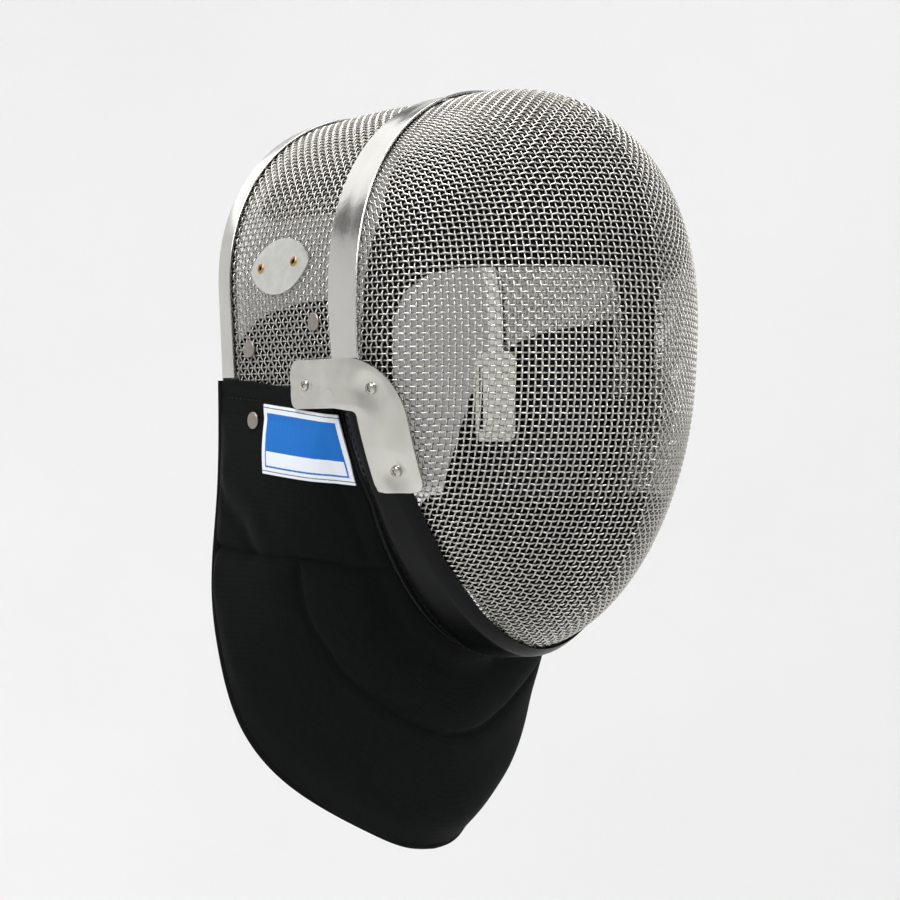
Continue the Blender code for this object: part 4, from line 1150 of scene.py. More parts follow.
@dataclass(frozen=True)
class Bands:
    """Flat front band over the joint of bowl and panel, and the folded channel of the rear edge."""

    panel: Panel = Panel()
    cheek: Cheek = Cheek()
    mesh_half: float = 1.0
    front_width: float = 20.6
    front_thickness: float = 1.2
    front_foot: float = -2.0
    low_height: float = 11.7
    front_crown: float = 0.25
    rear_width: float = 11.4
    rear_thickness: float = 0.8
    rear_foot: float = 0.5
    rear_roll: float = 1.6
    rear_web: float = 5.0

    def front(self, count: int = 141) -> bpy.types.Object:
        """Strip through three lines: ahead over the bowl, on the arch, and behind over the panel."""
        bowl = self.panel.bowl
        middle = self.panel.front_arch(self.front_foot, count)
        across = np.clip(middle[:, 0] / bowl.half_width, -0.999, 0.999)
        angle = bowl.front_angle
        ahead = unit(bowl.point(angle + 0.5, across) - bowl.point(angle, across))
        half = self.front_width / 2
        height = middle[:, 2]
        narrower = self.cheek.half_width(-half, height) - self.cheek.half_width(0.0, height)
        upright = unit(np.stack([narrower * np.sign(middle[:, 0]), 0 * height - half, 0 * height], -1))
        low = 1 - smooth_step(self.low_height - 8, self.low_height + 2, height)[:, None]
        ahead = unit(ahead + (upright - ahead) * low)
        panel = self.panel.grid([0.0, 0.05], count, self.front_foot)
        behind = unit(panel[1] - panel[0])
        along = np.gradient(middle, axis=0)
        out_ahead = unit(np.cross(ahead, along))
        out_behind = unit(np.cross(along, behind))
        out_middle = unit(out_ahead + out_behind)
        foot = self.mesh_half + GAP
        lines = []
        for share in np.linspace(-1, 1, 9):
            way = ahead * max(share, 0) + behind * max(-share, 0)
            out = unit(out_middle + ((out_ahead if share > 0 else out_behind) - out_middle) * abs(share))
            lines.append((middle + way * half, out, self.front_crown * (1 - share ** 2)))
        outer = np.stack([line + out * (foot + self.front_thickness + rise) for line, out, rise in lines])
        inner = np.stack([line + out * (foot + rise) for line, out, rise in lines])
        flat = flat_map(run_of(middle)[None], np.linspace(-half, half, 9)[:, None])
        piece = new_piece("front_band_strip", *wall(outer, inner), BAND, uv=flat, replaces=["front_band"])
        return rounded(piece, 0.45, 3)

    def rear(self, count: int = 141) -> bpy.types.Object:
        """Channel: a U profile with a rolled rear edge, carried along the rear arch."""
        middle = self.panel.rear_arch(self.rear_foot, count)
        panel = self.panel.grid([0.95, 1.0], count, self.rear_foot)
        behind = unit(panel[1] - panel[0])
        out = unit(np.cross(np.gradient(middle, axis=0), behind))
        low = self.mesh_half + 1.5 * GAP
        high = low + self.rear_thickness
        half = self.rear_width / 2
        turn = np.linspace(0.5, -0.5, 9) * math.pi
        roll = [(half + self.rear_roll * (math.cos(t) - 1), high * math.sin(t)) for t in turn]
        slot = half - self.rear_web
        inside = [(-half, -high), (-half, -low), (slot, -low), (slot, low)]
        profile = [(-half, low), (-half, high), *roll, *inside]
        sections = np.stack([middle + behind * b + out * o for b, o in profile], 1)
        flat = flat_map(run_of(middle)[:, None], run_of(np.array(profile))[None])
        piece = new_piece("rear_band_channel", *swept(sections), BAND, uv=flat, replaces=["rear_band"])
        return rounded(piece, 0.3, 2)

    def build(self) -> list[bpy.types.Object]:
        """Make both bands."""
        return [self.front(), self.rear()]


@dataclass(frozen=True)
class CheekBrackets:
    """L of sheet steel bent to the cheek, with a soft dish round each screw and other press work."""

    cheek: Cheek = Cheek()
    lift: float = 5.0
    thickness: float = 1.5
    arm_rear: float = 39.5
    arm_height: float = -4.2
    arm_half_width: float = 11.7
    leg_back: float = -18.4
    leg_foot: float = -53.5
    leg_half_width: float = 13.4
    elbow_radius: float = 14.6
    corner: float = 5.0
    dish_depth: float = 2.6
    dish_radius: float = 6.9
    rear_dish_share: float = 0.35
    band_rise: float = 1.1
    edge_roll: float = 0.6
    edge_share: float = 0.72
    band_backs: tuple = (-10.5, 11.0)
    mark_place: tuple = (8.2, -10.8)
    mark_radius: float = 3.6
    mark_rise: float = 0.34
    mark_reach: float = 0.6
    screw_radius: float = 2.7
    screw_height: float = 1.9
    recess_depth: float = 0.9
    recess_half: tuple = (0.28, 0.45)  # half width of an arm of the cross, at its floor and at its top
    recess_reach: tuple = (1.2, 1.7)  # length of an arm, at its floor and at its top
    screws: tuple = (("rear", 28.9, -4.4), ("front", -15.3, -6.2), ("lower", -19.2, -44.4))

    def plan(self) -> Array:
        """Backs and heights of the outline's grid: down the arm, round the elbow and down the leg."""
        bend = math.pi / 2 * self.elbow_radius
        centre = (self.leg_back + self.elbow_radius, self.arm_height - self.elbow_radius)
        arm = self.arm_rear - centre[0]
        leg = centre[1] - self.leg_foot
        total = arm + bend + leg
        near = self.corner * (1 - np.cos(np.linspace(0, math.pi / 2, 8)))
        inner = np.linspace(self.corner, total - self.corner, 111)[1:-1]
        run = np.concatenate([near, inner, total - near[::-1]])
        turn = np.clip((run - arm) / bend, 0, 1) * math.pi / 2
        back = np.where(run < arm, self.arm_rear - run, centre[0] - self.elbow_radius * np.sin(turn))
        height = np.where(run < arm, self.arm_height, centre[1] + self.elbow_radius * np.cos(turn))
        height = height - np.maximum(run - arm - bend, 0)
        wide = self.arm_half_width + (self.leg_half_width - self.arm_half_width) * turn / (math.pi / 2)
        short = np.maximum(self.corner - np.minimum(run, total - run), 0)
        wide = wide - self.corner + np.sqrt(np.maximum(self.corner ** 2 - short ** 2, 0))
        reach = np.linspace(1, -1, 37)[None] * wide[:, None]
        way = np.stack([-np.sin(turn), np.cos(turn)], -1)[:, None]
        return np.stack([back, height], -1)[:, None] + way * reach[..., None]

    def pressed(self, plan: Array) -> Array:
        """Lift of the press work: a bell dish at each screw, a rise over the band and a half-round mark.

        A dish is depth * exp(-(r / R)^3), the rise is a step with soft flanks, and the mark is a low
        ridge exp(-((r - R) / reach)^2) on the upper half of its circle.
        """
        back, height = plan[..., 0], plan[..., 1]
        lift = np.zeros(plan.shape[:2])
        for place, at_back, at_height in self.screws:
            away = np.hypot(back - at_back, height - at_height)
            depth = self.dish_depth * (self.rear_dish_share if place == "rear" else 1.0)
            lift -= depth * np.exp(-(away / self.dish_radius) ** 3)
        low, high = self.band_backs
        over = smooth_step(low - 4, low + 5, back) * (1 - smooth_step(high - 4, high + 6, back))
        lift += self.band_rise * over * smooth_step(-19.0, -13.0, height)
        away = np.hypot(back - self.mark_place[0], height - self.mark_place[1])
        ridge = bell(away - self.mark_radius, self.mark_reach)
        lift += self.mark_rise * ridge * smooth_step(-0.5, 0.8, height - self.mark_place[1])
        return lift

    def build(self, side: Side) -> list[bpy.types.Object]:
        """Make the bracket of one side, rolled in a little along its edges, and its three screws."""
        plan = self.plan()
        across = np.linspace(1, -1, plan.shape[1])[None]
        roll = smooth_step(self.edge_share, 1.1, across) + smooth_step(self.edge_share, 1.1, -across) / 2
        lift = self.lift + self.pressed(plan) - self.edge_roll * roll
        outer = self.cheek.point(side.value, plan[..., 0], plan[..., 1], lift + self.thickness)
        inner = self.cheek.point(side.value, plan[..., 0], plan[..., 1], lift)
        plate = new_piece(f"cheek_plate_{side.label}", *wall(outer, inner), PRESSED,
                          uv=plan.reshape(-1, 2), replaces=[f"cheek_bracket_{side.label}"])
        made = [rounded(plate, 0.5, 3)]
        for place, back, height in self.screws:
            at = np.array([[(back, height)]])
            top = self.lift + self.thickness + float(self.pressed(at)[0, 0])
            base = self.cheek.point(side.value, back, height, top)
            above = self.cheek.point(side.value, back, height, top + 3.0)
            made.append(self.screw(f"screw_{place}_{side.label}", base, above - base,
                                   [f"bracket_screw_{place}_{side.label}"]))
            if place == "rear":
                made.append(self.washer(f"screw_washer_{side.label}", base, above - base))
        return made

    def washer(self, name: str, point: Array, normal: Array) -> bpy.types.Object:
        """Thin flat ring under the rear screw, with its edges turned down."""
        bore = self.screw_radius + 0.2
        profile = [(bore, 0.05), (bore, 0.4), (bore + 0.3, 0.55), (5.3, 0.55), (5.7, 0.3), (5.7, 0.05)]
        return new_piece(name, finish=PRESSED, **turned_ring(point, normal, profile, 48))

    def screw(self, name: str, point: Array, normal: Array, replaces: Sequence[str]) -> bpy.types.Object:
        """Pan head: 1 - 0.55 (r/R)^3 of its height, and a cross recess where |x| or |y| is small."""
        first, second, normal = axes_about(normal)
        radius = np.concatenate([np.linspace(0.02, 0.9, 20), [0.96, 1.0, 1.0]])[:, None] * self.screw_radius
        turn = turns(64)[None]
        x = radius * np.cos(turn + 0.4)
        y = radius * np.sin(turn + 0.4)
        height = self.screw_height * (1 - 0.55 * (radius / self.screw_radius) ** 3) + 0 * turn
        arm = np.maximum(*(1 - smooth_step(*self.recess_half, np.abs(way)) for way in (x, y)))
        height = height - self.recess_depth * arm * (1 - smooth_step(*self.recess_reach, radius))
        height[-1] = 0.0
        points = point + x[..., None] * first + y[..., None] * second + height[..., None] * normal
        return new_piece(name, *swept(points), FASTENER, uv=np.stack([x, y], -1).reshape(-1, 2),
                         replaces=replaces)


# ---------------------------------------------------------------- rubber edging


@dataclass(frozen=True)
class ChinEdging:
    """Rubber strip with a thin front lip, a rounded ridge and a face that turns in behind it."""

    border: Border = Border()
    mesh_half: float = 1.0
    width: float = 31.0
    thickness: float = 2.2
    lip: float = 0.9
    ridge: float = 22.0
    turn_depth: float = 5.4
    bead_width: float = 30.1
    bead_radius: float = 0.9
    seam_width: float = 23.2
    seam_sink: float = 0.35
    stitch: tuple = (3.7, 2.7, 0.34)  # pitch, length and thread radius

    @property
    def low(self) -> float:
        """Lift of the strip's underside."""
        return self.mesh_half + 1.6 * GAP

    def profile(self) -> Array:
        """Width and lift round the strip's section, with its outer side as a smooth curve."""
        low = self.low
        high = low + self.thickness
        turned_in = high - self.turn_depth
        outer = np.array([
            (-0.3, low + self.lip), (3.0, low + 1.6), (10.0, high), (17.0, high + 0.3), (self.ridge, high),
            (25.0, high - 1.5), (27.5, high - 3.4), (28.9, turned_in + 0.7),
        ])
        run = run_of(outer)
        curve = spline(run, outer, np.linspace(0, run[-1], 33))
        turn = np.linspace(0.85, -0.5, 8) * math.pi
        bead = np.stack([self.bead_width + self.bead_radius * np.cos(turn),
                         turned_in + 0.35 + self.bead_radius * np.sin(turn)], -1)
        inner = [(25.0, turned_in + 1.0), (17.0, low), (9.0, low), (0.0, low)]
        return np.concatenate([curve, bead, inner])

    def build(self, count: int = 241) -> list[bpy.types.Object]:
        """Carry the profile along the border and sew a row of stitches ahead of its rear bead."""
        profile = self.profile()
        sections = np.stack([self.border.line(count, w, lift) for w, lift in profile], 1)
        strip = new_piece("chin_edging_strip", *swept(sections), RUBBER, sharp=50, replaces=["chin_edging"])
        made = [strip]
        high = self.low + self.thickness
        _, out, _ = self.border.frames(count)
        path = self.border.line(count, self.seam_width, high - self.seam_sink)
        made.append(new_piece("edging_stitches", *stitched(path, out, *self.stitch), THREAD))
        return made


# ---------------------------------------------------------------- bib


@dataclass(frozen=True)
class Bib:
    """Padded bib: cloth from the hem and the edging down to a bound edge, sewn in panels."""

    cheek: Cheek = Cheek()
    border: Border = Border()
    hem_rear: tuple = (100.8, -0.6)
    hem_front: tuple = (12.5, -11.5)
    lift: float = 2.8
    tuck: float = 4.4
    tuck_depth: float = 30.0
    edging_width: float = 31.0
    under_edging: tuple = (29.0, -4.6)
    thin: float = 2.2
    thick: float = 6.5
    hem_depth: float = 17.0
    hem_seam: float = 8.5
    rim: float = 22.0
    outer_share: float = 0.7
    swell: float = 1.0
    throat_hollow: float = 5.0
    throat_place: float = 0.20
    throat_reach: float = 0.17
    tip_swell: float = 6.0
    tip_place: float = 0.80
    tip_reach: float = 0.15
    stitch_pitch: float = 3.4
    seam_reach: float = 7.5
    seam_press: float = 0.98
    over_half: float = 0.45
    hem_reach: float = 1.3
    hem_press: tuple = (0.55, 0.3)  # into the outer face and into the inner one
    groove_depth: float = 2.2
    groove_reach: float = 2.3
    calm: float = 0.5
    calm_rate: float = 0.0035  # rounds for each squared column, so a finer grid calms as far
    binding_radius: float = 2.2
    edge: tuple = (
        # half width, back, height
        (95.8, 106.0, -0.6),
        (96.0, 107.0, -60.0),
        (97.2, 109.5, -108.0),
        (94.0, 106.5, -143.0),
        (86.5, 99.0, -176.5),
        (74.0, 87.0, -199.5),
        (56.0, 73.5, -216.5),
        (33.0, 61.5, -231.0),
        (14.0, 53.5, -239.5),
        (0.0, 51.0, -241.0),
    )
    seam_lines: tuple = (
        # half width, back and height of the corners: the seam across the chest, then the one under the throat
        ((98.0, 112.0, -83.5), (98.6, 85.0, -86.5), (98.0, 67.0, -88.0), (94.5, 46.0, -89.0),
         (85.0, 31.0, -91.5), (74.0, 21.0, -94.5), (61.0, 8.0, -96.0), (48.0, -2.0, -98.0)),
        ((94.5, 46.0, -89.0), (92.5, 47.0, -100.0), (89.0, 48.0, -113.0), (84.0, 46.5, -126.0),
         (77.0, 43.0, -136.5), (70.5, 41.0, -146.5), (60.5, 37.0, -156.5), (48.5, 32.5, -165.5),
         (37.0, 29.0, -173.0), (24.0, 26.0, -179.0), (10.0, 23.0, -182.0), (0.0, 22.5, -182.5)),
    )
    fold_lines: tuple = (
        # depth, half width of the bell, then the line's corners
        (-1.7, 5.0, ((98.0, 110.0, -50.0), (100.0, 92.0, -66.0), (100.0, 81.0, -74.0), (99.0, 76.0, -86.0))),
        (1.3, 7.0, ((98.0, 104.0, -40.0), (100.0, 84.0, -54.0), (100.0, 72.0, -64.0), (99.0, 66.0, -76.0))),
        (1.0, 10.0, ((98.0, 100.0, -99.0), (97.0, 64.0, -102.0), (90.0, 56.0, -112.0))),
        (0.8, 12.0, ((60.0, 22.0, -112.0), (76.0, 34.0, -116.0), (66.0, 33.0, -136.0), (40.0, 24.0, -154.0))),
        (0.9, 11.0, ((94.0, 92.0, -140.0), (80.0, 66.0, -172.0), (50.0, 48.0, -198.0))),
        (-0.8, 7.0, ((0.0, 12.0, -120.0), (0.0, 20.0, -160.0))),
    )

    def hem(self, back: Array) -> Array:
        """Height of the hem at a back: it falls by the share of the way forward to the power 1.5."""
        share = (self.hem_rear[0] - back) / (self.hem_rear[0] - self.hem_front[0])
        return self.hem_rear[1] + (self.hem_front[1] - self.hem_rear[1]) * share ** 1.5

    def top(self, shares: Array) -> tuple[Array, Array]:
        """Right half of the upper edge, along the hem and behind the edging, and the fold over it."""
        back = np.linspace(self.hem_rear[0], self.hem_front[0], 12)
        height = self.hem(back)
        behind = self.edging_width + 4 * GAP
        upper = self.border.line(161, behind, self.lift - 1.2)[:81]
        tucked = self.border.line(161, behind, self.lift - self.tuck)[:81]
        share = np.clip((upper[0, 2] - upper[:, 2:]) / self.tuck_depth, 0, 1)
        line = np.concatenate(
            [self.cheek.point(-1, back, height, self.lift), upper + (tucked - upper) * share])
        over = np.concatenate([self.cheek.point(-1, back, height + 0.8, self.lift),
                               self.border.line(161, *self.under_edging)[:81]])
        run = run_of(line)
        return read_at(shares * run[-1], run, line), read_at(shares * run[-1], run, over)

    def bottom(self, count: int, inset: float) -> tuple[Array, Array]:
        """Right half of the free edge, a spline through its table, and its outward directions."""
        rows = mirrored(np.array(self.edge))
        run = run_of(rows)
        path = spaced(spline(run, rows, np.linspace(0, run[-1], 241)), count)
        inner = np.stack([path[:, 0] * 0.9, 5 + 0 * path[:, 0], np.maximum(path[:, 2], -130.0)], -1)
        along = unit(np.gradient(path, axis=0))
        out = path - inner
        out = unit(out - along * np.sum(out * along, axis=-1, keepdims=True))
        out[-1, 0] = 0.0
        out = unit(out)
        path = path - out * inset
        path[-1, 0] = 0.0
        return path, out

    def half(self, share: Array, down: Array) -> tuple[Array, Array]:
        """Middle surface of the right half, hollow at the throat and swelled at the tip, and the fold."""
        top, over = self.top(share)
        edge = self.bottom(241, self.binding_radius)[0]
        edge[0] = top[0]
        corner = np.argmax(edge[:, 2] < self.edge[2][2])
        bottom = at_shares(edge[corner:], share)
        fall = down[None, :, None]
        grid = top[:, None, :] + (bottom - top)[:, None, :] * fall
        rear = at_shares(edge[:corner + 1], down)
        fade = (1 - smooth_step(0, 0.27, share))[:, None, None] ** 1.6
        grid = grid + (rear[None] - grid[:1]) * fade
        calm = smooth_step(0.0, 0.2, down)[None, :, None] * self.calm
        for _ in range(int(self.calm_rate * len(share) ** 2)):
            beside = np.concatenate([grid[2:], mirrored(grid[-2:-1])]) + grid[:-1]
            grid[1:] += (beside / 2 - grid[1:]) * calm
        out = grid_normals(grid, (0, 60, -120))
        side = np.sin(math.pi * np.clip(share * 1.15, 0, 1))[:, None, None] ** 0.7
        front = smooth_step(0.36, 0.80, share)[:, None, None]
        swell = self.swell * side * np.sin(math.pi * fall) ** 2
        hollow = bell(fall - self.throat_place, self.throat_reach) * np.minimum(fall / 0.1, 1)
        swell = swell - self.throat_hollow * front * hollow
        swell = swell + self.tip_swell * front * bell(fall - self.tip_place, self.tip_reach)
        return grid + out * swell, over

    def surfaces(self, columns: int, rows: int) -> "Quilt":
        """Both faces of the padded cloth.

        A panel is thin at its rim and rises from there like a quarter sine. At a distance d from a seam
        its filling is pressed to sqrt(1 - press exp(-(d / reach)^2)) of its height, with a narrow groove
        along the seam itself.

        Args:
            columns: Columns of one half.
            rows: Rows below the hem.

        Returns:
            The two faces with their flat map.
        """
        share = np.linspace(0, 1, columns)
        down = np.concatenate([np.linspace(0, 0.08, 13)[:-1], np.linspace(0.08, 1, rows)])
        half, over = self.half(share, down)
        grid = doubled(half)
        over = doubled(over)[:, None]
        normals = grid_normals(grid, (0, 60, -120))
        from_rear = np.concatenate([share, share[-2::-1]])[:, None]
        length = np.linalg.norm(np.diff(grid, axis=1), axis=-1)
        below = np.pad(np.cumsum(length, axis=1), ((0, 0), (1, 0)))
        rim = np.minimum(np.minimum(below - self.hem_depth, below[:, -1:] - below), from_rear * 300)
        padding = (self.thick - self.thin) * np.sin(np.clip(rim / self.rim, 0, 1) * math.pi / 2)
        side = np.where(grid[..., :1] > 0, -1.0, 1.0) * np.array([1.0, 0.0, 0.0]) + np.array([0.0, 1.0, 1.0])
        place, facing = grid * side, normals * side
        away = np.full(grid.shape[:2], np.inf)
        for line in self.seam_lines:
            away = np.minimum(away, distance_over(place, facing, mirrored(line)))
        padding = padding * np.sqrt(1 - self.seam_press * bell(away, self.seam_reach))
        padding = padding - self.groove_depth * bell(away, self.groove_reach)
        fold = np.zeros_like(away)
        for depth, wide, line in self.fold_lines:
            fold += depth * bell(distance_over(place, facing, mirrored(line)), wide)
        fold *= smooth_step(2, 16, rim)
        hem = bell(below - self.hem_seam, self.hem_reach) * (1 - smooth_step(0.24, 0.30, from_rear))
        rise = self.thin / 2 + padding * self.outer_share + fold - self.hem_press[0] * hem
        outer = grid + normals * rise[..., None]
        rise = self.thin / 2 + padding * (1 - self.outer_share) - fold - self.hem_press[1] * hem
        inner = grid - normals * rise[..., None]
        outer = np.concatenate([over + normals[:, :1] * self.over_half, outer], axis=1)
        inner = np.concatenate([over - normals[:, :1] * self.over_half, inner], axis=1)
        run = run_of(grid[:, len(down) // 2])[:, None] + 0 * below
        flat = np.stack([run, -below], -1)
        held = np.clip(np.maximum(bell(away, 3.0), 1 - rim / 6.0), 0, 1)
        return Quilt(
            outer, inner, np.concatenate([flat[:, :1] + (0.0, 1.0), flat], axis=1),
            np.concatenate([held[:, :1], held], axis=1), np.linspace(0, 1, len(grid)), np.append(-0.01, down))

    @lru_cache(maxsize=1)
    def quilt(self) -> "Quilt":
        """The fine faces with the filling's swelling, which is found on a coarser copy."""
        fine = self.surfaces(141, 104)
        coarse = self.surfaces(61, 46)
        points, faces = wall(coarse.outer, coarse.inner)
        held = np.concatenate([coarse.held.ravel(), coarse.held.ravel()])
        move = settled_move("bib_settling", points, faces, held, pressure=2.6, cap=1.8)
        move = move.reshape(2, *coarse.outer.shape)
        move = resampled(resampled(move, coarse.across, fine.across, 1), coarse.down, fine.down, 2)
        return replace(fine, outer=fine.outer + move[0], inner=fine.inner + move[1])

    def build(self) -> list[bpy.types.Object]:
        """Make the bib with its settled padding, sew its hem and bind its edge."""
        quilt = self.quilt()
        bib = new_piece("bib_cloth", *wall(quilt.outer, quilt.inner), TWILL, uv=quilt.flat.reshape(-1, 2),
                        sharp=80, replaces=["bib"])
        made = [bib, self.binding()]
        for side in Side:
            back = np.linspace(self.hem_rear[0] - 3, self.hem_front[0] + 14, 60)
            path, out = quilt.patch().at(back, self.hem(back) - self.hem_seam - 0.2, 0.05)
            turn = np.array([-float(side.value), 1.0, 1.0])
            stitches = stitched(path * turn, out * turn, self.stitch_pitch, 2.5, 0.3)
            made.append(new_piece(f"hem_stitches_{side.label}", *stitches, THREAD))
        return made

    def binding(self, count: int = 161) -> bpy.types.Object:
        """Folded tape along the free edge: an oval section, 4.4 mm deep and 3.6 mm thick."""
        path, out = [doubled(part) for part in self.bottom(count, self.binding_radius)]
        side = unit(np.cross(unit(np.gradient(path, axis=0)), out))
        turn = turns(16)[None, :, None]
        lobe = np.sign(np.cos(turn)) * np.abs(np.cos(turn)) ** 0.8
        ring = out[:, None] * lobe + side[:, None] * np.sin(turn) * 0.82
        sections = path[:, None] + ring * self.binding_radius
        flat = flat_map(run_of(path)[:, None], np.arange(16)[None] * 0.86)
        tape = new_piece("bib_binding_tape", *swept(sections), TAPE, uv=flat, replaces=["bib_binding"])
        return tape


@dataclass(frozen=True)
class Quilt:
    """Two faces of a padded cloth, its flat map, how firmly it is sewn, and the places of its lines."""

    outer: Array
    inner: Array
    flat: Array
    held: Array
    across: Array
    down: Array

    def patch(self) -> Patch:
        """The upper part of the outer face on the wearer's right, for what is sewn to it."""
        columns = len(self.across) // 2 + 1
        normals = grid_normals(self.outer, (0, 60, -120))
        return Patch(self.outer[:columns * 3 // 4, 2:80], normals[:columns * 3 // 4, 2:80])


def simulated(piece: bpy.types.Object, held: Array, pressure: float, frames: int) -> Array:
    """Moves of a closed mesh's corners in a short cloth simulation, in metres.

    Args:
        piece: Closed mesh.
        held: How firmly each corner is held, from 0, free, to 1, sewn down.
        pressure: Pressure of the filling.
        frames: Frames of the simulation.

    Returns:
        One move a corner.
    """
    scene = bpy.context.scene
    group = piece.vertex_groups.new(name="sewn")
    levels = np.round(held * 10).astype(int)
    for level in np.unique(levels):
        group.add(np.flatnonzero(levels == level).tolist(), level / 10, "REPLACE")
    start = np.empty(len(piece.data.vertices) * 3, np.float32)
    piece.data.vertices.foreach_get("co", start)
    cloth = piece.modifiers.new("settling", "CLOTH")
    cloth.settings.quality = 6
    cloth.settings.mass = 0.3
    cloth.settings.tension_stiffness = 30
    cloth.settings.compression_stiffness = 30
    cloth.settings.bending_stiffness = 1.5
    cloth.settings.use_pressure = True
    cloth.settings.uniform_pressure_force = pressure
    cloth.settings.vertex_group_mass = "sewn"
    cloth.settings.effector_weights.gravity = 0.0
    cloth.collision_settings.use_collision = False
    cloth.collision_settings.use_self_collision = False
    cloth.point_cache.frame_start = 1
    cloth.point_cache.frame_end = frames
    for number in range(1, frames + 1):
        scene.frame_set(number)
    evaluated = piece.evaluated_get(bpy.context.evaluated_depsgraph_get())
    end = np.empty_like(start)
    evaluated.data.vertices.foreach_get("co", end)
    piece.modifiers.remove(cloth)
    piece.vertex_groups.remove(group)
    scene.frame_set(1)
    return (end - start).reshape(-1, 3)


def capped(move: Array, cap: float) -> Array:
    """Moves shortened softly so that none passes the cap: length cap * tanh(length / cap)."""
    length = np.maximum(np.linalg.norm(move, axis=-1, keepdims=True), 1e-12)
    return move * cap * np.tanh(length / cap) / length


def settled_move(
    name: str, points: Array, faces: list[Array], held: Array, pressure: float, cap: float
) -> Array:
    """Moves in millimetres by which a closed padded form settles, from a simulation on a passing copy.

    Args:
        name: Name of the copy.
        points: Corners in millimetres.
        faces: Groups of faces.
        held: How firmly each corner is held.
        pressure: Pressure of the filling.
        cap: Farthest that a corner may move, in millimetres.

    Returns:
        One move a corner.
    """
    mesh = bpy.data.meshes.new(name)
    rows = [row.tolist() for group in facing_out(points, faces) for row in group]
    mesh.from_pydata(placed(points).tolist(), [], rows)
    copy = linked(name, mesh)
    move = capped(simulated(copy, held, pressure, 16) / MM, cap) * (1 - held[:, None])
    bpy.data.objects.remove(copy, do_unlink=True)
    bpy.data.meshes.remove(mesh)
    LOG.info("%s: up to %.2f mm", name, float(np.linalg.norm(move, axis=1).max()))
    return move


# ---------------------------------------------------------------- padding inside


@dataclass(frozen=True)
class Padding:
    """Pads and flaps inside the mask: foam and quilted cloth with rounded edges."""

    voxel: float = 2.9
    pressure: float = 4.0
    cap: float = 1.6
    frames: int = 16

    def merged(self, node: str) -> bpy.types.Mesh:
        """Mesh of a CAD node with its doubles merged and its triangles joined to four-sided faces."""
        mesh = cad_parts[node].data.copy()
        shape = bmesh.new()
        shape.from_mesh(mesh)
        bmesh.ops.remove_doubles(shape, verts=shape.verts, dist=0.02 * MM)
        bmesh.ops.join_triangles(shape, faces=shape.faces, angle_face_threshold=math.radians(40),
                                 angle_shape_threshold=math.radians(40))
        shape.to_mesh(mesh)
        shape.free()
        return mesh

    def remeshed(self, node: str) -> bpy.types.Mesh:
        """The node's form in even small faces, smoothed over three rounds."""
        coarse = linked(f"{node}_coarse", self.merged(node))
        even = coarse.modifiers.new("even_faces", "REMESH")
        even.mode = "VOXEL"
        even.voxel_size = self.voxel * MM
        calm = coarse.modifiers.new("smoothed", "SMOOTH")
        calm.factor = 0.5
        calm.iterations = 3
        graph = bpy.context.evaluated_depsgraph_get()
        mesh = bpy.data.meshes.new_from_object(coarse.evaluated_get(graph))
        bpy.data.objects.remove(coarse, do_unlink=True)
        return mesh

    def pad(self, node: str, fill: float) -> bpy.types.Object:
        """One foam pad: even faces, swelled by its filling in a cloth simulation, then subdivided once."""
        mesh = self.remeshed(node)
        mesh.shade_smooth()
        piece = dressed(f"{node}_soft", mesh, PADDING, [node])
        move = simulated(piece, np.zeros(len(mesh.vertices)), self.pressure, self.frames)
        move = capped(move, self.cap * MM)
        points = np.empty(len(mesh.vertices) * 3, np.float32)
        mesh.vertices.foreach_get("co", points)
        mesh.vertices.foreach_set("co", (points + move.ravel()).astype(np.float32))
        mesh.update()
        longest = float(np.linalg.norm(move, axis=1).max()) / MM
        LOG.info("%s settled by up to %.2f mm", piece.name, longest)
        return self.subdivided(piece, 1)

    def flap(self, node: str) -> bpy.types.Object:
        """One thin quilted flap, subdivided twice."""
        mesh = self.merged(node)
        mesh.shade_smooth()
        piece = dressed(f"{node}_soft", mesh, NAVY, [node])
        return self.subdivided(piece, 2)

    def subdivided(self, piece: bpy.types.Object, levels: int) -> bpy.types.Object:
        smooth = piece.modifiers.new("rounded", "SUBSURF")
        smooth.levels = levels
        smooth.render_levels = levels
        return piece

    def build(self) -> list[bpy.types.Object]:
        """Make the five soft pieces inside the mask."""
        made = [self.pad(node, 0.7) for node in ("forehead_pad", "crown_pad", "chin_pad")]
        return made + [self.flap(f"side_flap_{side.label}") for side in Side]


# ---------------------------------------------------------------- small pieces on the side


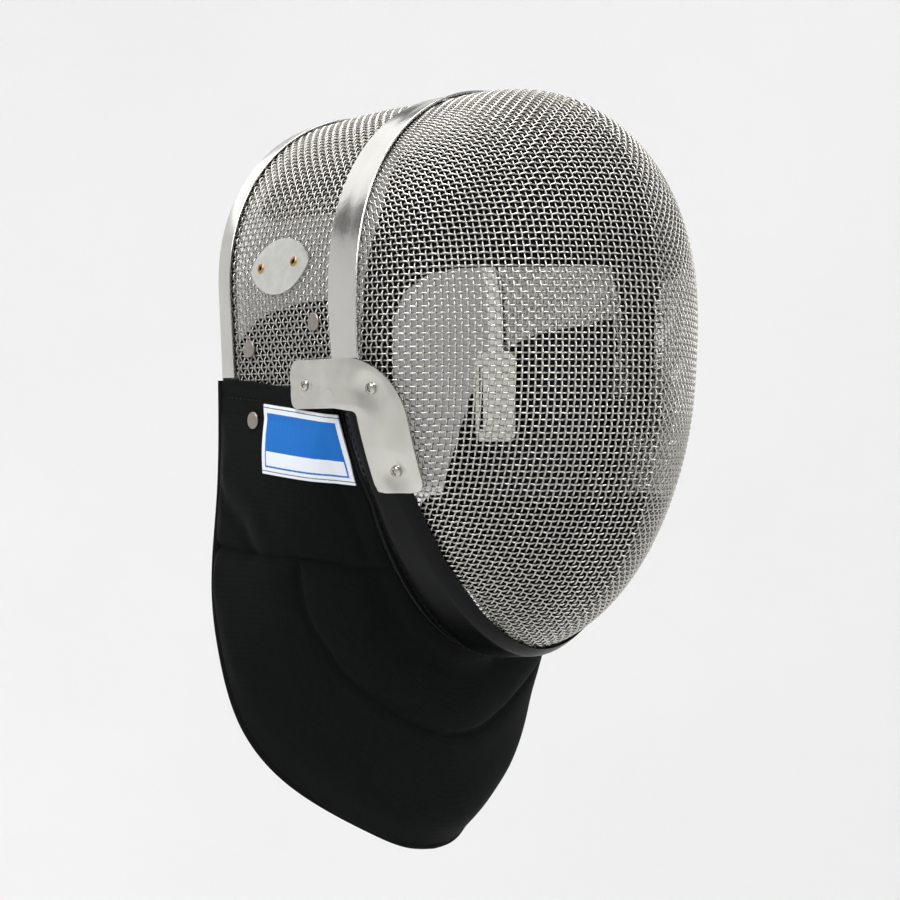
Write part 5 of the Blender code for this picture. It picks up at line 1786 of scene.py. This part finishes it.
@dataclass(frozen=True)
class SideFittings:
    """Rivets, badge with eyelets, label and strap plates."""

    panel: Panel = Panel()
    bib: Bib = Bib()
    rivet_radius: float = 4.3
    badge_centre: tuple = (55.5, 54.0)
    badge_length: float = 45.0
    badge_height: float = 27.0
    badge_tilt: float = -4.0
    badge_thickness: float = 1.0
    badge_lift: float = 1.45
    badge_powers: tuple = (2.1, 0.72)  # of the length, and of what is left of the height there
    badge_crown: float = 0.5
    label_rear: tuple = ((65.5, -13.0), (62.0, -47.0))
    label_front: tuple = ((10.5, -19.0), (10.5, -52.5))
    label_thickness: float = 0.5

    def side_patch(self) -> Patch:
        """The panel on the wearer's right as a fine patch."""
        grid = self.panel.grid(np.linspace(0, 1, 81), 401)
        normals = grid_normals(grid, (0, 50, 40))
        return Patch(grid[:, :200], normals[:, :200])

    def rivet(self, place: str, side: Side) -> bpy.types.Object:
        """Low domed head where the CAD has it, with a rolled rim."""
        low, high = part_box(f"rivet_{place}_{side.label}")
        middle = np.array((low + high) / 2) / MM + HEAD_SEAT
        middle[0] = side.value * min(abs(low.x), abs(high.x)) / MM
        r = self.rivet_radius
        profile = [(r * 0.8, 0.0), (r, 0.1), (r, 0.4), (r * 0.95, 0.75), (r * 0.84, 1.0), (r * 0.6, 1.12),
                   (r * 0.3, 1.18), (r * 0.06, 1.2)]
        node = f"rivet_{place}_{side.label}"
        points, faces = turned(middle, (side.value, 0.05, 0.0), profile, 40)
        return new_piece(f"{node}_head", points, faces, RIVET, uv=points[:, 1:], replaces=[node])

    def badge(self) -> list[bpy.types.Object]:
        """Almond plate: half height (1 - |u|^2.1)^0.72 along its length, with two eyelets."""
        patch = self.side_patch()
        tilt = math.radians(self.badge_tilt)
        u = np.sin(np.linspace(-0.5, 0.5, 49) * math.pi)[:, None]
        v = np.linspace(-1, 1, 25)[None]
        along = u * self.badge_length / 2 + 0 * v
        inner_power, outer_power = self.badge_powers
        up = v * self.badge_height / 2 * np.maximum(1 - np.abs(u) ** inner_power, 0.002) ** outer_power
        back = self.badge_centre[0] + along * math.cos(tilt) - up * math.sin(tilt)
        height = self.badge_centre[1] + along * math.sin(tilt) + up * math.cos(tilt)
        crown = self.badge_crown * (1 - v ** 2) * (1 - u ** 4)
        inner, normal = patch.at(back, height, self.badge_lift)
        outer = inner + normal * (self.badge_thickness + crown)[..., None]
        inner = inner + normal * crown[..., None] * 0.5
        plate = new_piece("side_badge_plate", *wall(outer, inner), BADGE, uv=flat_map(back, height),
                          replaces=["side_badge"])
        made = [rounded(plate, 0.35, 3)]
        profile = [(1.1, 0.1), (1.1, 0.55), (1.25, 0.85), (1.7, 1.0), (2.2, 0.85), (2.55, 0.45), (2.6, 0.1)]
        for place, hole in BADGE_HOLES.items():
            point, normal = patch.at(*hole, self.badge_lift + self.badge_thickness)
            ring = turned_ring(point, normal, profile, 36)
            node = f"badge_eyelet_{place}"
            made.append(new_piece(f"{node}_ring", finish=BRASS, replaces=[node], **ring))
        return made

    def label(self) -> bpy.types.Object:
        """Woven label on the bib: straight lines between its corners, laid on the cloth."""
        patch = self.bib.quilt().patch()
        u = np.linspace(0, 1, 53)[:, None]
        v = np.linspace(0, 1, 35)[None]
        rear, front = np.array(self.label_rear), np.array(self.label_front)
        upper = rear[0] + (front[0] - rear[0]) * u[..., None]
        lower = rear[1] + (front[1] - rear[1]) * u[..., None]
        place = upper + (lower - upper) * v[..., None]
        inner, normal = patch.at(place[..., 0], place[..., 1], -0.3)
        outer = inner + normal * (self.label_thickness + 0.55)
        label = new_piece("side_label_weave", *wall(outer, inner), WEAVE,
                          uv=flat_map(u * WEAVE.length_mm, v * WEAVE.height_mm), replaces=["side_label"])
        return label

    def strap_plate(self, side: Side) -> bpy.types.Object:
        """Slotted plate in the place of its CAD solid, with its edges broken."""
        node = f"strap_plate_{side.label}"
        mesh = Padding().merged(node)
        mesh.shade_smooth()
        mesh.set_sharp_from_angle(angle=math.radians(30))
        return rounded(dressed(f"{node}_sheet", mesh, PRESSED, [node]), 0.4, 3)

    def build(self) -> list[bpy.types.Object]:
        """Make all small pieces."""
        made = [self.rivet(place, side) for side in Side for place in ("upper", "rear", "bib")]
        made += self.badge()
        made.append(self.label())
        made += [self.strap_plate(side) for side in Side]
        return made


# ---------------------------------------------------------------- studio


@dataclass(frozen=True)
class PaleGround(Finish):
    """Seamless studio paper, matt and even, with a painted shadow: a grey oval painted where the object's
    shade would fall behind it.
    """

    # colour, middle and size of the painted shadow, a grey oval painted on the paper behind the object
    painted_shadow_colour: str = "#858584"
    painted_shadow_place: tuple = (1.76, 1.91, 0.046)
    painted_shadow_size: tuple = (0.372, 0.372, 0.34)

    def dress(self, recipe: Recipe) -> None:
        """A faint paper tone, and a painted shadow: a grey oval that fades out between 0.84 and 1 of its
        size.
        """
        away = recipe.add("VectorMath", {0: recipe.place, 1: self.painted_shadow_place}, operation="SUBTRACT")
        share = recipe.add("VectorMath", {0: away, 1: self.painted_shadow_size}, operation="DIVIDE")
        length = recipe.add("VectorMath", {0: share}, "Value", operation="LENGTH")
        # near is 1 inside the painted shadow and fades to 0 at its edge
        near = recipe.remap(length, (0.84, 1.0), (1.0, 0.0), interpolation_type="SMOOTHSTEP")
        paper = self.tone(recipe, recipe.noise(3.0, 2.0))
        recipe.shade({"Base Color": recipe.tint(near, paper, self.painted_shadow_colour)})


@dataclass(frozen=True)
class Studio:
    """Round cove of pale paper, soft lamps and the camera of the photograph."""

    floor: float = -0.75
    flat_radius: float = 1.5
    wall_radius: float = 2.6
    wall_height: float = 2.0
    lens: float = 96.0
    position: tuple = (-0.8279, -0.9290, -0.1621)
    direction: tuple = (0.6743, 0.7385, 0.0)

    def cove(self) -> bpy.types.Object:
        """Floor that curves up into a round wall: a profile turned about the upright axis."""
        turn = np.linspace(0, math.pi / 2, 17)
        bend = self.wall_radius - self.flat_radius
        radius = np.concatenate(
            [[0.001, 0.5, 1.0], self.flat_radius + bend * np.sin(turn), [self.wall_radius]])
        height = np.concatenate([[0.0, 0.0, 0.0], bend * (1 - np.cos(turn)), [self.wall_height]])
        around = turns(96)[None]
        points = np.stack([
            radius[:, None] * np.cos(around), radius[:, None] * np.sin(around),
            self.floor + height[:, None] + 0 * around,
        ], -1)
        rows, columns = points.shape[:2]
        index = np.arange(rows * columns).reshape(rows, columns)
        beside = np.roll(index, -1, axis=1)
        faces = np.stack([index[:-1], beside[:-1], beside[1:], index[1:]], -1).reshape(-1, 4)
        mesh = bpy.data.meshes.new("paper_cove")
        mesh.from_pydata(points.reshape(-1, 3).tolist(), [], faces[:, ::-1].tolist())
        mesh.shade_smooth()
        # the paper carries a painted shadow, a grey oval behind the object
        ground = PaleGround("studio_paper", "studio", "#E3E3E3", "#DFDFDF", 0.0, 0.9)
        mesh.materials.append(ground.material())
        cove = linked("paper_cove", mesh)
        return cove

    def lamp(
        self,
        name: str,
        place: Sequence[float],
        target: Sequence[float],
        size: tuple[float, float],
        power: float,
    ) -> None:
        """Soft rectangular lamp that faces a target."""
        light = bpy.data.lights.new(name, "AREA")
        light.shape = "RECTANGLE"
        light.size, light.size_y = size
        light.energy = power
        lamp = linked(name, light)
        lamp.location = place
        aim = Vector(target) - Vector(place)
        lamp.rotation_euler = aim.to_track_quat("-Z", "Y").to_euler()

    def build(self) -> None:
        """Set up the cove, the world's soft light, the lamps and the camera."""
        self.cove()
        scene = bpy.context.scene
        world = bpy.data.worlds.new("soft_daylight")
        world.use_nodes = True
        sky = world.node_tree.nodes["Background"]
        sky.inputs[0].default_value = (1.0, 1.0, 1.0, 1.0)
        sky.inputs[1].default_value = 0.12
        scene.world = world
        middle = (0.0, -0.03, -0.14)
        self.lamp("softbox_left", (-1.2, -0.4, 1.2), middle, (0.9, 1.0), 25)
        self.lamp("softbox_rear", (-0.1, 1.5, 1.15), middle, (1.6, 1.0), 7)
        self.lamp("softbox_right", (0.5, -1.7, 0.6), middle, (0.7, 1.2), 17)
        self.lamp("softbox_top", (-0.1, 0.1, 1.7), middle, (1.2, 1.2), 21)
        self.lamp("backdrop_lamp", (0.3, 0.35, 1.6), (1.7, 1.9, 0.0), (1.2, 0.8), 21)
        self.lamp("side_wall_lamp", (-0.8, 0.8, 1.5), (-1.8, 1.9, 0.35), (0.9, 0.9), 10)
        camera = bpy.data.cameras.new("photo_camera")
        camera.lens = self.lens
        camera.sensor_width = 36.0
        camera.clip_start = 0.05
        camera.clip_end = 20.0
        viewer = linked("photo_camera", camera)
        viewer.location = self.position
        viewer.rotation_euler = Vector(self.direction).to_track_quat("-Z", "Y").to_euler()
        scene.camera = viewer
        scene.view_settings.view_transform = "Standard"


def main() -> None:
    """Build the studio and every sub-assembly, and report the pieces."""
    logging.basicConfig(level=logging.INFO, format="%(message)s")
    Studio().build()
    built = {
        "face mesh": FaceMesh().build(),
        "crown mesh": CrownMesh().build(),
        "bands": Bands().build(),
        "cheek brackets": [piece for side in Side for piece in CheekBrackets().build(side)],
        "edging": ChinEdging().build(),
        "bib": Bib().build(),
        "padding": Padding().build(),
        "side fittings": SideFittings().build(),
    }
    for name, pieces in built.items():
        LOG.info("%s: %s", name, ", ".join(piece.name for piece in pieces))


if __name__ == "__main__":
    main()
